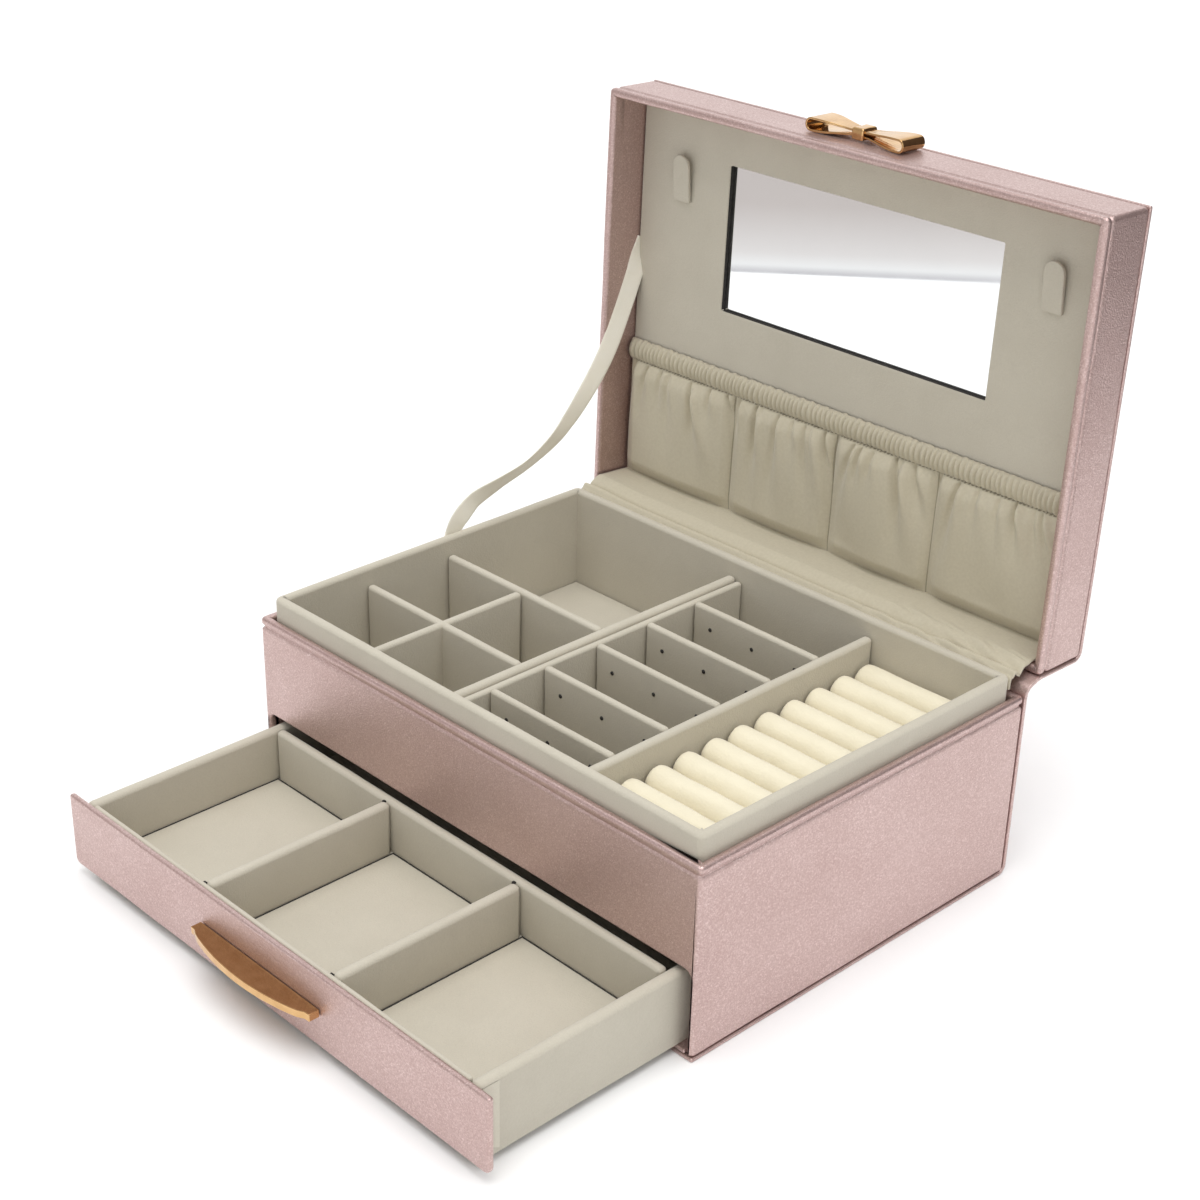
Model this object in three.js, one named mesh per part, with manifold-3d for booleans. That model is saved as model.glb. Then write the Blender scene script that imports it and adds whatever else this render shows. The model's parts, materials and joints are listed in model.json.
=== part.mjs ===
// Jewellery chest: a leatherette case with a lined tray, a mirror lid on a cloth hinge and a drawer.
// Units are millimetres. +X runs right along the front, +Y to the back, +Z up.
// The origin is the centre of the underside. The lid stands open and the drawer is drawn out.
import * as THREE from 'three';
import { mergeVertices } from 'three/addons/utils/BufferGeometryUtils.js';
import Module from 'manifold-3d';

const wasm = await Module();
wasm.setup();

// ---- Driving dimensions ----

const caseWidth = 230;
const caseDepth = 167.5;
const rimHeight = 75.6;
const coverThickness = 1.5;
const wallThickness = 3.2;
const floorThickness = 1.5;
const openingTop = 34.7;
const pieceGap = 0.3;
const rimRounding = 1.2;

const trayClearance = 0.6;
const trayRise = 8.4;
const trayWall = 3.9;
const trayFloorAboveOpening = 7.7;
const trayFloorThickness = 3.5;
const liningSlot = 1.2;

const longDividerThickness = 4;
const longDividerDrop = 6.5;
const ringColumnWidth = 54.8;
const earringColumnWidth = 65;

const cellDividerThickness = 3.6;
const cellDividerDrop = 7;
const cellDepth = 37.2;
const notchClearance = 0.3;

const earringSideThickness = 3;
const earringSideDrop = 7.7;
const earringPanelThickness = 3.2;
const earringPanelDrop = 7.2;
const earringPanelCount = 5;
const earringFrontGap = 17.6;
const earringRearGap = 24.9;
const earringHoleRadius = 0.6;
const earringHoleDepth = 8.3;
const earringHolePitch = 21.4;

const ringPadCount = 11;
const ringPadDrop = 14;

const lidHeight = 25.75;
const lidTopBoardThickness = 1.95;
const linerThickness = 2;
const windowFrontMargin = 19.55;
const windowSideMargin = 47.1;
const windowToPocket = 23.05;
const mirrorLap = 6;
const mirrorThickness = 2;

const tabWidth = 8.5;
const tabLength = 18.7;
const tabThickness = 1.4;
const tabInset = 23.7;
const tabTilt = THREE.MathUtils.degToRad(6);

const pocketHeight = 58.3;
const pocketThickness = 4.2;

const bowHalfLength = 22.8;
const bowTipHalfHeight = 6.35;
const bowKnotHalfHeight = 3.2;
const bowKnotHalfWidth = 2.9;
const bowThickness = 5.1;
const bowKnotThickness = 4.2;
const bowStrip = 0.9;
const bowAboveRim = 15.75;

const hingeSetback = 4.3;
const hingeDrop = 1.03;
const lidOpenAngle = THREE.MathUtils.degToRad(91.6);
const spineThickness = 1.2;
const liningThickness = 0.8;
const backCoverDrop = 1;
const lidCoverStart = 1.3;

const ribbonWidth = 7.5;
const ribbonThickness = 0.5;
const ribbonLidY = -7.3;
const ribbonOffLiner = 3.5;
const ribbonTrayY = 7.8;
const ribbonAboveRim = 5;

const drawerOut = 85;
const panelThickness = 2.4;
const panelTopClearance = 1.5;
const panelAboveFloor = 0.9;
const panelCorner = 2.5;
const drawerSideClearance = 3.9;
const drawerTopClearance = 2.2;
const drawerFloorThickness = 7.7;
const drawerSideWall = 4.6;
const drawerFrontWall = 2;
const drawerCrossWall = 4;
const drawerBackWall = 3;
const drawerBackClearance = 5.75;
const compartmentDepth = 78.95;
const drawerDividerThickness = 4.4;

const pullHalfLength = 33;
const pullEndDepth = 4.3;
const pullDepth = 9.5;
const pullThickness = 3;

// ---- Sizes that follow from them ----

const frontY = -caseDepth / 2;
const backY = caseDepth / 2;
const outerX = caseWidth / 2;
const innerX = outerX - wallThickness;
const betweenX = innerX - pieceGap;
const innerFrontY = frontY + wallThickness;
const backWallOuterY = backY - coverThickness - pieceGap;
const backWallInnerY = backWallOuterY - wallThickness;
const caseBottom = coverThickness + pieceGap;
const floorTop = caseBottom + floorThickness;

const trayOuterX = innerX - trayClearance;
const trayInnerX = trayOuterX - trayWall;
const trayFrontOuterY = innerFrontY + trayClearance;
const trayFrontY = trayFrontOuterY + trayWall;
const trayBackOuterY = backWallInnerY - liningSlot;
const trayBackY = trayBackOuterY - trayWall;
const trayTop = rimHeight + trayRise;
const trayFloorTop = openingTop + trayFloorAboveOpening;
const trayBottom = trayFloorTop - trayFloorThickness;
const longDividerRightX = trayInnerX - ringColumnWidth - longDividerThickness / 2;
const longDividerLeftX = longDividerRightX - earringColumnWidth - longDividerThickness;
const dividerFoot = trayFloorTop + pieceGap;
const dividerFrontY = trayFrontY + pieceGap;
const dividerBackY = trayBackY - pieceGap;

const lidRim = rimHeight + pieceGap;
const lidTop = lidRim + lidHeight;
const lidWallTop = lidTop - coverThickness - pieceGap;
const lidTopBoardBottom = lidWallTop - lidTopBoardThickness;
const mirrorTop = lidTopBoardBottom - pieceGap;
const mirrorBottom = mirrorTop - mirrorThickness;
const linerTop = mirrorBottom - pieceGap;
const linerBottom = linerTop - linerThickness;

const hingeY = backY + hingeSetback;
const hingeZ = rimHeight - hingeDrop;

const drawerHalfWidth = innerX - drawerSideClearance;
const drawerBottom = floorTop + pieceGap;
const drawerTop = openingTop - drawerTopClearance;
const drawerFloorTop = drawerBottom + drawerFloorThickness;
const drawerFrontY = frontY;
const drawerFrontInnerY = drawerFrontY + drawerFrontWall;
const crossWallY = drawerFrontInnerY + compartmentDepth;
const drawerBackOuterY = backWallInnerY - drawerBackClearance;
const drawerInnerX = drawerHalfWidth - drawerSideWall;
const drawerFoot = drawerFloorTop + pieceGap;

// ---- Materials ----

const finish = (color, roughness, metalness) =>
  new THREE.MeshStandardMaterial({ color, roughness, metalness });
const leatherette = finish(0xd5b4b4, 0.42, 0.15);
const greigeLining = finish(0xc4bdad, 0.9, 0);
const creamPlush = finish(0xeae2c6, 0.95, 0);
const creamSatin = finish(0xf2ecd9, 0.5, 0);
const pocketFabric = finish(0xd8d0ba, 0.85, 0);
const mirrorGlass = finish(0xe9edf0, 0.05, 1);
const goldMetal = finish(0xd9a066, 0.2, 1);
const coreBoard = finish(0x2b2826, 0.9, 0);

// ---- Shape helpers ----

const jewelleryChest = new THREE.Group();
const drawer = new THREE.Group();
const lid = new THREE.Group();

/** Adds a named mesh to a group and returns it. */
function addPiece(group, name, geometry, material) {
  const mesh = new THREE.Mesh(geometry, material);
  mesh.name = name;
  group.add(mesh);
  return mesh;
}

/** A closed outline through [u, v] corners. */
function outline(corners) {
  return new THREE.Shape(corners.map(([u, v]) => new THREE.Vector2(u, v)));
}

/** An outline in Y and Z carried along X from x0 to x1. */
function alongX(shape, x0, x1, curveSegments = 6) {
  const options = { depth: x1 - x0, bevelEnabled: false, curveSegments };
  const geometry = new THREE.ExtrudeGeometry(shape, options);
  geometry.rotateX(Math.PI / 2);
  geometry.rotateZ(Math.PI / 2);
  return geometry.translate(x0, 0, 0);
}

/** An outline in X and Z carried along Y from y0 to y1. */
function alongY(shape, y0, y1, curveSegments = 6) {
  const options = { depth: y1 - y0, bevelEnabled: false, curveSegments };
  const geometry = new THREE.ExtrudeGeometry(shape, options);
  geometry.rotateX(Math.PI / 2);
  return geometry.translate(0, y1, 0);
}

/** An outline in X and Y carried along Z from z0 to z1. */
function alongZ(shape, z0, z1, curveSegments = 6) {
  const options = { depth: z1 - z0, bevelEnabled: false, curveSegments };
  return new THREE.ExtrudeGeometry(shape, options).translate(0, 0, z0);
}

/** A plain board between two opposite corners. */
function board(group, name, material, [x0, x1], [y0, y1], [z0, z1]) {
  const mesh = addPiece(group, name, new THREE.BoxGeometry(x1 - x0, y1 - y0, z1 - z0), material);
  mesh.position.set((x0 + x1) / 2, (y0 + y1) / 2, (z0 + z1) / 2);
  return mesh;
}

/** An upright board's section: square at the foot, its top edge rounded by radius. */
function roundedTop(u0, u1, v0, v1, radius) {
  const shape = new THREE.Shape();
  shape.moveTo(u0, v0);
  shape.lineTo(u1, v0);
  shape.lineTo(u1, v1 - radius);
  shape.absarc(u1 - radius, v1 - radius, radius, 0, Math.PI / 2, false);
  if (u1 - u0 > 2 * radius + 1e-6) shape.lineTo(u0 + radius, v1);
  shape.absarc(u0 + radius, v1 - radius, radius, Math.PI / 2, Math.PI, false);
  shape.lineTo(u0, v0);
  return shape;
}

/** The top rounding that a lined board of this thickness can take. */
function liningRadius(thickness) {
  return thickness * 0.45;
}

/** The section, in Y and Z, of a bent sheet of even thickness along a smooth line. */
function bentSheet(points, thickness, steps) {
  const line = new THREE.SplineCurve(points.map(([y, z]) => new THREE.Vector2(y, z)));
  const near = [];
  const far = [];
  for (let i = 0; i <= steps; i += 1) {
    const at = line.getPoint(i / steps);
    const tangent = line.getTangent(i / steps);
    const side = new THREE.Vector2(-tangent.y, tangent.x).multiplyScalar(thickness / 2);
    near.push(at.clone().sub(side));
    far.push(at.clone().add(side));
  }
  return new THREE.Shape([...near, ...far.reverse()]);
}

/** A geometry, with its own placing applied, as a solid for cutting and joining. */
function toSolid(geometry) {
  const bare = geometry.index ? geometry.toNonIndexed() : geometry.clone();
  bare.deleteAttribute('normal');
  bare.deleteAttribute('uv');
  const merged = mergeVertices(bare, 1e-4);
  const vertProperties = new Float32Array(merged.attributes.position.array);
  const triVerts = new Uint32Array(merged.index.array);
  return new wasm.Manifold(new wasm.Mesh({ numProp: 3, vertProperties, triVerts }));
}

/** A solid back as a geometry. */
function toGeometry(solid) {
  const mesh = solid.getMesh();
  const geometry = new THREE.BufferGeometry();
  geometry.setAttribute('position', new THREE.BufferAttribute(mesh.vertProperties, 3));
  geometry.setIndex(new THREE.BufferAttribute(mesh.triVerts, 1));
  geometry.computeVertexNormals();
  return geometry;
}

/** A box between two opposite corners as a solid. */
function boxSolid([x0, x1], [y0, y1], [z0, z1]) {
  const geometry = new THREE.BoxGeometry(x1 - x0, y1 - y0, z1 - z0);
  geometry.translate((x0 + x1) / 2, (y0 + y1) / 2, (z0 + z1) / 2);
  return toSolid(geometry);
}

// ---- Case: cover boards, walls, band over the drawer opening ----

board(jewelleryChest, 'bottom_cover_board', leatherette,
  [-outerX, outerX], [frontY, backY], [0, coverThickness]);
board(jewelleryChest, 'back_cover_board', leatherette,
  [-outerX, outerX], [backY - coverThickness, backY], [caseBottom, rimHeight - backCoverDrop]);
board(jewelleryChest, 'case_floor', leatherette,
  [-betweenX, betweenX], [frontY, backWallInnerY - pieceGap], [caseBottom, floorTop]);

for (const [side, sign] of [['left', -1], ['right', 1]]) {
  const inner = sign * innerX;
  const outer = sign * outerX;
  const section = roundedTop(Math.min(inner, outer), Math.max(inner, outer),
    caseBottom, rimHeight, rimRounding);
  addPiece(jewelleryChest, `case_side_${side}`, alongY(section, frontY, backWallOuterY), leatherette);
}

const bandSection = roundedTop(frontY, innerFrontY, openingTop, rimHeight, rimRounding);
addPiece(jewelleryChest, 'case_front_band', alongX(bandSection, -betweenX, betweenX), leatherette);
const backSection = roundedTop(backWallInnerY, backWallOuterY, caseBottom, rimHeight, rimRounding);
addPiece(jewelleryChest, 'case_back_wall', alongX(backSection, -betweenX, betweenX), leatherette);

// ---- Tray: floor and four lined walls standing above the rim ----

board(jewelleryChest, 'tray_floor', greigeLining,
  [-trayInnerX + pieceGap, trayInnerX - pieceGap], [dividerFrontY, dividerBackY],
  [trayBottom, trayFloorTop]);

const trayRadius = liningRadius(trayWall);
const trayFrontSection = roundedTop(trayFrontOuterY, trayFrontY, trayBottom, trayTop, trayRadius);
addPiece(jewelleryChest, 'tray_wall_front', alongX(trayFrontSection, -trayOuterX, trayOuterX), greigeLining);
const trayBackSection = roundedTop(trayBackY, trayBackOuterY, trayBottom, trayTop, trayRadius);
addPiece(jewelleryChest, 'tray_wall_back', alongX(trayBackSection, -trayOuterX, trayOuterX), greigeLining);
for (const [side, x0] of [['left', -trayOuterX], ['right', trayInnerX]]) {
  const section = roundedTop(x0, x0 + trayWall, trayBottom, trayTop, trayRadius);
  addPiece(jewelleryChest, `tray_wall_${side}`, alongY(section, dividerFrontY, dividerBackY), greigeLining);
}

// ---- Long dividers: they part the tray into three columns ----

for (const [side, x] of [['left', longDividerLeftX], ['right', longDividerRightX]]) {
  const half = longDividerThickness / 2;
  const section = roundedTop(x - half, x + half, dividerFoot, trayTop - longDividerDrop,
    liningRadius(longDividerThickness));
  addPiece(jewelleryChest, `long_divider_${side}`,
    alongY(section, dividerFrontY, dividerBackY), greigeLining);
}

// ---- Left column: two cell dividers and the partition that crosses the front one ----

const cellTop = trayTop - cellDividerDrop;
const cellMiddle = (dividerFoot + cellTop) / 2;
const cellHalf = cellDividerThickness / 2;
const cellRightX = longDividerLeftX - longDividerThickness / 2;
const cellFrontDividerY = trayFrontY + cellDepth + cellHalf;
const cellRearDividerY = cellFrontDividerY + cellDepth + cellDividerThickness;
const partitionX = (cellRightX - trayInnerX) / 2;
const notchHalf = cellHalf + notchClearance;
const notchPast = 1;

function cellDividerSolid(y) {
  const section = roundedTop(y - cellHalf, y + cellHalf, dividerFoot, cellTop,
    liningRadius(cellDividerThickness));
  return alongX(section, -trayInnerX + pieceGap, cellRightX - pieceGap);
}

const lowerNotch = boxSolid([partitionX - notchHalf, partitionX + notchHalf],
  [cellFrontDividerY - notchHalf, cellFrontDividerY + notchHalf],
  [dividerFoot - notchPast, cellMiddle + notchClearance / 2]);
addPiece(jewelleryChest, 'cell_divider_front',
  toGeometry(toSolid(cellDividerSolid(cellFrontDividerY)).subtract(lowerNotch)), greigeLining);
addPiece(jewelleryChest, 'cell_divider_rear', cellDividerSolid(cellRearDividerY), greigeLining);

const partitionSection = roundedTop(partitionX - cellHalf, partitionX + cellHalf, dividerFoot, cellTop,
  liningRadius(cellDividerThickness));
const partitionBlank = alongY(partitionSection, dividerFrontY, cellRearDividerY - cellHalf - pieceGap);
const upperNotch = boxSolid([partitionX - notchHalf, partitionX + notchHalf],
  [cellFrontDividerY - notchHalf, cellFrontDividerY + notchHalf],
  [cellMiddle - notchClearance / 2, cellTop + notchPast]);
addPiece(jewelleryChest, 'cell_partition',
  toGeometry(toSolid(partitionBlank).subtract(upperNotch)), greigeLining);

// ---- Middle column: earring insert, a side panel and cross panels with three post holes each ----

const earringSideX = longDividerLeftX + longDividerThickness / 2 + pieceGap;
const earringSideSection = roundedTop(earringSideX, earringSideX + earringSideThickness, dividerFoot,
  trayTop - earringSideDrop, liningRadius(earringSideThickness));
addPiece(jewelleryChest, 'earring_side_panel',
  alongY(earringSideSection, dividerFrontY, dividerBackY), greigeLining);

const earringX0 = earringSideX + earringSideThickness + pieceGap;
const earringX1 = longDividerRightX - longDividerThickness / 2 - pieceGap;
const earringTop = trayTop - earringPanelDrop;
const earringHalf = earringPanelThickness / 2;
const earringFirstY = trayFrontY + earringFrontGap + earringHalf;
const earringLastY = trayBackY - earringRearGap - earringHalf;
const earringPanelPitch = (earringLastY - earringFirstY) / (earringPanelCount - 1);

for (let i = 1; i <= earringPanelCount; i += 1) {
  const y = earringFirstY + (i - 1) * earringPanelPitch;
  const section = roundedTop(y - earringHalf, y + earringHalf, dividerFoot, earringTop,
    liningRadius(earringPanelThickness));
  let panel = toSolid(alongX(section, earringX0, earringX1, 4));
  for (const place of [-1, 0, 1]) {
    const hole = new THREE.CylinderGeometry(earringHoleRadius, earringHoleRadius,
      earringPanelThickness + 2 * notchPast, 8);
    const holeX = (earringX0 + earringX1) / 2 + place * earringHolePitch;
    hole.translate(holeX, y, earringTop - earringHoleDepth);
    panel = panel.subtract(toSolid(hole));
  }
  addPiece(jewelleryChest, `earring_panel_${i}`, toGeometry(panel), greigeLining);
}

// ---- Right column: plush ring pads, their rounded tops side by side ----

const ringPadX0 = longDividerRightX + longDividerThickness / 2 + pieceGap;
const ringPadX1 = trayInnerX - pieceGap;
const ringPadPitch = (trayBackY - trayFrontY) / ringPadCount;

for (let i = 1; i <= ringPadCount; i += 1) {
  const y0 = trayFrontY + (i - 1) * ringPadPitch + pieceGap / 2;
  const y1 = y0 + ringPadPitch - pieceGap;
  const section = roundedTop(y0, y1, dividerFoot, trayTop - ringPadDrop, (y1 - y0) / 2);
  addPiece(jewelleryChest, `ring_pad_${i}`, alongX(section, ringPadX0, ringPadX1), creamPlush);
}

// ---- Lid, built closed over the rim and turned open about its cloth hinge ----

const lidPivot = new THREE.Group();
lidPivot.position.set(0, hingeY, hingeZ);
lidPivot.rotation.x = -lidOpenAngle;
lid.position.set(0, -hingeY, -hingeZ);
lidPivot.add(lid);
jewelleryChest.add(lidPivot);

board(lid, 'lid_cover_board', leatherette,
  [-outerX, outerX], [frontY, backY], [lidTop - coverThickness, lidTop]);
board(lid, 'lid_back_cover_board', leatherette,
  [-outerX, outerX], [backY - coverThickness, backY], [lidRim + lidCoverStart, lidWallTop]);

/** A lid wall's section: its lower edge, at the rim, is rounded. */
function lidWallSection(u0, u1) {
  const shape = new THREE.Shape();
  shape.moveTo(u0 + rimRounding, lidRim);
  shape.lineTo(u1 - rimRounding, lidRim);
  shape.absarc(u1 - rimRounding, lidRim + rimRounding, rimRounding, -Math.PI / 2, 0, false);
  shape.lineTo(u1, lidWallTop);
  shape.lineTo(u0, lidWallTop);
  shape.lineTo(u0, lidRim + rimRounding);
  shape.absarc(u0 + rimRounding, lidRim + rimRounding, rimRounding, Math.PI, 1.5 * Math.PI, false);
  return shape;
}

addPiece(lid, 'lid_wall_front',
  alongX(lidWallSection(frontY, innerFrontY), -betweenX, betweenX), leatherette);
addPiece(lid, 'lid_wall_back',
  alongX(lidWallSection(backWallInnerY, backWallOuterY), -betweenX, betweenX), leatherette);
addPiece(lid, 'lid_wall_left', alongY(lidWallSection(-outerX, -innerX), frontY, backWallOuterY), leatherette);
addPiece(lid, 'lid_wall_right', alongY(lidWallSection(innerX, outerX), frontY, backWallOuterY), leatherette);

const lidInsideX = [-betweenX, betweenX];
const lidInsideY = [innerFrontY + pieceGap, backWallInnerY - pieceGap];
board(lid, 'lid_top_board', coreBoard, lidInsideX, lidInsideY, [lidTopBoardBottom, lidWallTop]);

const pocketBackY = lidInsideY[1] - pieceGap;
const pocketFrontY = pocketBackY - pocketHeight;
const windowX = innerX - windowSideMargin;
const windowFrontY = innerFrontY + windowFrontMargin;
const windowBackY = pocketFrontY - windowToPocket;
const linerShape = outline([[lidInsideX[0], lidInsideY[0]], [lidInsideX[1], lidInsideY[0]],
  [lidInsideX[1], lidInsideY[1]], [lidInsideX[0], lidInsideY[1]]]);
linerShape.holes.push(outline([[-windowX, windowFrontY], [-windowX, windowBackY],
  [windowX, windowBackY], [windowX, windowFrontY]]));
addPiece(lid, 'lid_liner_panel', alongZ(linerShape, linerBottom, linerTop), greigeLining);

board(lid, 'mirror', mirrorGlass, [-windowX - mirrorLap, windowX + mirrorLap],
  [windowFrontY - mirrorLap, windowBackY + mirrorLap], [mirrorBottom, mirrorTop]);

// Necklace tabs: rounded strips that lean off the liner, their free ends towards the front wall.
const tabShape = new THREE.Shape();
tabShape.moveTo(-tabWidth / 2, 0);
tabShape.lineTo(-tabWidth / 2, -tabLength + tabWidth / 2);
tabShape.absarc(0, -tabLength + tabWidth / 2, tabWidth / 2, Math.PI, 2 * Math.PI, false);
tabShape.lineTo(tabWidth / 2, 0);
for (const [side, sign] of [['left', -1], ['right', 1]]) {
  const tab = addPiece(lid, `necklace_tab_${side}`, alongZ(tabShape, -tabThickness, 0), greigeLining);
  tab.position.set(sign * (innerX - tabInset), windowFrontY + tabLength, linerBottom - pieceGap);
  tab.rotation.x = tabTilt;
}

board(lid, 'pocket_cloth', pocketFabric, [-betweenX + 2 * pieceGap, betweenX - 2 * pieceGap],
  [pocketFrontY, pocketBackY],
  [linerBottom - pieceGap - pocketThickness, linerBottom - pieceGap]);

// ---- Bow ornament on the lid's front wall: two open loops and a knot ----

/** A loop's section in X and Y, one side of the knot: a strip folded back at its outer end. */
function loopSection(inset, sign) {
  const tipHalf = bowThickness / 2 - inset;
  const tipX = bowHalfLength - bowThickness / 2;
  const rootHalf = bowKnotThickness / 2 - bowStrip / 2 - inset;
  const rootX = inset > 0 ? bowKnotHalfWidth + bowStrip : 0;
  const shape = new THREE.Shape();
  shape.moveTo(rootX, -rootHalf);
  shape.lineTo(tipX, -tipHalf);
  shape.absarc(tipX, 0, tipHalf, -Math.PI / 2, Math.PI / 2, false);
  shape.lineTo(rootX, rootHalf);
  const points = shape.getPoints(6);
  return new THREE.Shape(points.map((p) => new THREE.Vector2(sign * p.x, p.y)));
}

function bowSolid() {
  const reach = bowTipHalfHeight + notchPast;
  let bow = null;
  for (const sign of [-1, 1]) {
    const outside = toSolid(alongZ(loopSection(0, sign), -reach, reach));
    const hollow = toSolid(alongZ(loopSection(bowStrip, sign), -reach - notchPast, reach + notchPast));
    const loop = outside.subtract(hollow);
    bow = bow ? bow.add(loop) : loop;
  }
  const tie = outline([[-bowHalfLength, -bowTipHalfHeight], [-bowKnotHalfWidth, -bowKnotHalfHeight],
    [bowKnotHalfWidth, -bowKnotHalfHeight], [bowHalfLength, -bowTipHalfHeight],
    [bowHalfLength, bowTipHalfHeight], [bowKnotHalfWidth, bowKnotHalfHeight],
    [-bowKnotHalfWidth, bowKnotHalfHeight], [-bowHalfLength, bowTipHalfHeight]]);
  const outlineSolid = toSolid(alongY(tie, -bowThickness, bowThickness));
  const knotHalfDepth = bowKnotThickness / 2;
  const knot = boxSolid([-bowKnotHalfWidth, bowKnotHalfWidth], [-knotHalfDepth, knotHalfDepth],
    [-bowKnotHalfHeight - bowStrip, bowKnotHalfHeight + bowStrip]);
  return bow.intersect(outlineSolid).add(knot);
}

const bow = addPiece(lid, 'bow_ornament', toGeometry(bowSolid()), goldMetal);
bow.position.set(0, frontY - pieceGap - bowThickness / 2, lidRim + bowAboveRim);

// ---- Pieces that bend across the hinge ----

/** Where a point of the closed lid stands, as [y, z], once the lid is open. */
function opened(y, z) {
  const offset = new THREE.Vector2(y - hingeY, z - hingeZ);
  offset.rotateAround(new THREE.Vector2(0, 0), -lidOpenAngle);
  return [hingeY + offset.x, hingeZ + offset.y];
}

const coverMiddleY = backY - coverThickness / 2;
const spineStart = [coverMiddleY, rimHeight - backCoverDrop + pieceGap];
const spineEnd = opened(coverMiddleY, lidRim + lidCoverStart - pieceGap);
const spineLine = [spineStart, [coverMiddleY + 0.5, spineStart[1] + 2.2],
  [(spineStart[0] + spineEnd[0]) / 2 - 0.6, spineEnd[1] - 0.7], [spineEnd[0] - 1.8, spineEnd[1]], spineEnd];
addPiece(jewelleryChest, 'hinge_spine',
  alongX(bentSheet(spineLine, spineThickness, 12), -outerX, outerX), leatherette);

const liningLift = liningThickness / 2 + 1.5 * pieceGap;
const liningBeforeRim = opened(backWallInnerY - liningLift, lidRim - 1.2);
const liningAtRim = opened(backWallInnerY - liningLift - 0.2, lidRim + 3);
const liningAtLiner = opened(backWallInnerY - liningLift, linerBottom - pocketThickness - 3 * pieceGap);
const liningFootY = trayBackOuterY + pieceGap + liningThickness / 2 + 0.1;
const liningLine = [[liningFootY, rimHeight + 2], [liningFootY + 0.3, trayTop - 2.6],
  [liningFootY + 2.6, trayTop - 2.3], [liningFootY + 5.8, trayTop - 1.6], liningBeforeRim, liningAtRim,
  liningAtLiner];
addPiece(jewelleryChest, 'hinge_lining',
  alongX(bentSheet(liningLine, liningThickness, 18), -betweenX + 1, betweenX - 1), pocketFabric);

// The stay ribbon: from the lid's left rear corner down to the outside of the tray's left wall.
const ribbonHighX = -innerX + pieceGap + ribbonThickness / 2 + 0.1;
const ribbonLowX = -trayOuterX - pieceGap - ribbonThickness / 2 - 0.1;
const [ribbonHighY, ribbonHighZ] = opened(ribbonLidY, linerBottom - ribbonOffLiner);
const ribbonLowZ = rimHeight + ribbonAboveRim;

// How far along the way up each point lies: its share of the travel in X, in Y and in Z.
const ribbonCourse = [
  [1, 1, 1],
  [1, 0.944, 0.859],
  [1, 0.854, 0.664],
  [1, 0.739, 0.494],
  [1, 0.608, 0.346],
  [1, 0.43, 0.25],
  [1, 0.262, 0.198],
  [0.5, 0.129, 0.151],
  [0, 0.043, 0.083],
  [0, 0, 0],
];
const ribbonPoints = ribbonCourse.map(([shareX, shareY, shareZ]) => new THREE.Vector3(
  THREE.MathUtils.lerp(ribbonLowX, ribbonHighX, shareX),
  THREE.MathUtils.lerp(ribbonTrayY, ribbonHighY, shareY),
  THREE.MathUtils.lerp(ribbonLowZ, ribbonHighZ, shareZ),
));
const ribbonSection = outline([[-ribbonThickness / 2, -ribbonWidth / 2], [ribbonThickness / 2, -ribbonWidth / 2],
  [ribbonThickness / 2, ribbonWidth / 2], [-ribbonThickness / 2, ribbonWidth / 2]]);
const ribbonPath = new THREE.CatmullRomCurve3(ribbonPoints);
addPiece(jewelleryChest, 'stay_ribbon',
  new THREE.ExtrudeGeometry(ribbonSection, { steps: 28, extrudePath: ribbonPath, bevelEnabled: false }), creamSatin);

// ---- Drawer, built closed and then drawn out ----

drawer.position.y = -drawerOut;
jewelleryChest.add(drawer);

const panelBackY = frontY - pieceGap;
const panelFrontY = panelBackY - panelThickness;
const panelBottom = floorTop + panelAboveFloor;
const panelTop = openingTop - panelTopClearance;
const panelShape = new THREE.Shape();
panelShape.moveTo(-outerX + panelCorner, panelBottom);
panelShape.lineTo(outerX - panelCorner, panelBottom);
panelShape.absarc(outerX - panelCorner, panelBottom + panelCorner, panelCorner, -Math.PI / 2, 0, false);
panelShape.lineTo(outerX, panelTop);
panelShape.lineTo(-outerX, panelTop);
panelShape.lineTo(-outerX, panelBottom + panelCorner);
panelShape.absarc(-outerX + panelCorner, panelBottom + panelCorner, panelCorner, Math.PI, 1.5 * Math.PI, false);
addPiece(drawer, 'drawer_front_panel', alongY(panelShape, panelFrontY, panelBackY), leatherette);

board(drawer, 'drawer_floor', greigeLining,
  [-drawerInnerX + pieceGap, drawerInnerX - pieceGap],
  [drawerFrontInnerY + pieceGap, drawerBackOuterY - drawerBackWall - pieceGap],
  [drawerBottom, drawerFloorTop]);

for (const [side, x0] of [['left', -drawerHalfWidth], ['right', drawerInnerX]]) {
  const section = roundedTop(x0, x0 + drawerSideWall, drawerBottom, drawerTop, liningRadius(drawerSideWall));
  addPiece(drawer, `drawer_wall_${side}`, alongY(section, drawerFrontY, drawerBackOuterY), greigeLining);
}

/** A drawer board that runs across, between the side walls. */
function crossBoard(name, y0, y1, foot) {
  const section = roundedTop(y0, y1, foot, drawerTop, liningRadius(y1 - y0));
  addPiece(drawer, name, alongX(section, -drawerInnerX + pieceGap, drawerInnerX - pieceGap), greigeLining);
}

crossBoard('drawer_wall_front', drawerFrontY, drawerFrontInnerY, drawerBottom);
crossBoard('drawer_wall_back', drawerBackOuterY - drawerBackWall, drawerBackOuterY, drawerBottom);
crossBoard('drawer_cross_wall', crossWallY, crossWallY + drawerCrossWall, drawerFoot);

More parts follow.
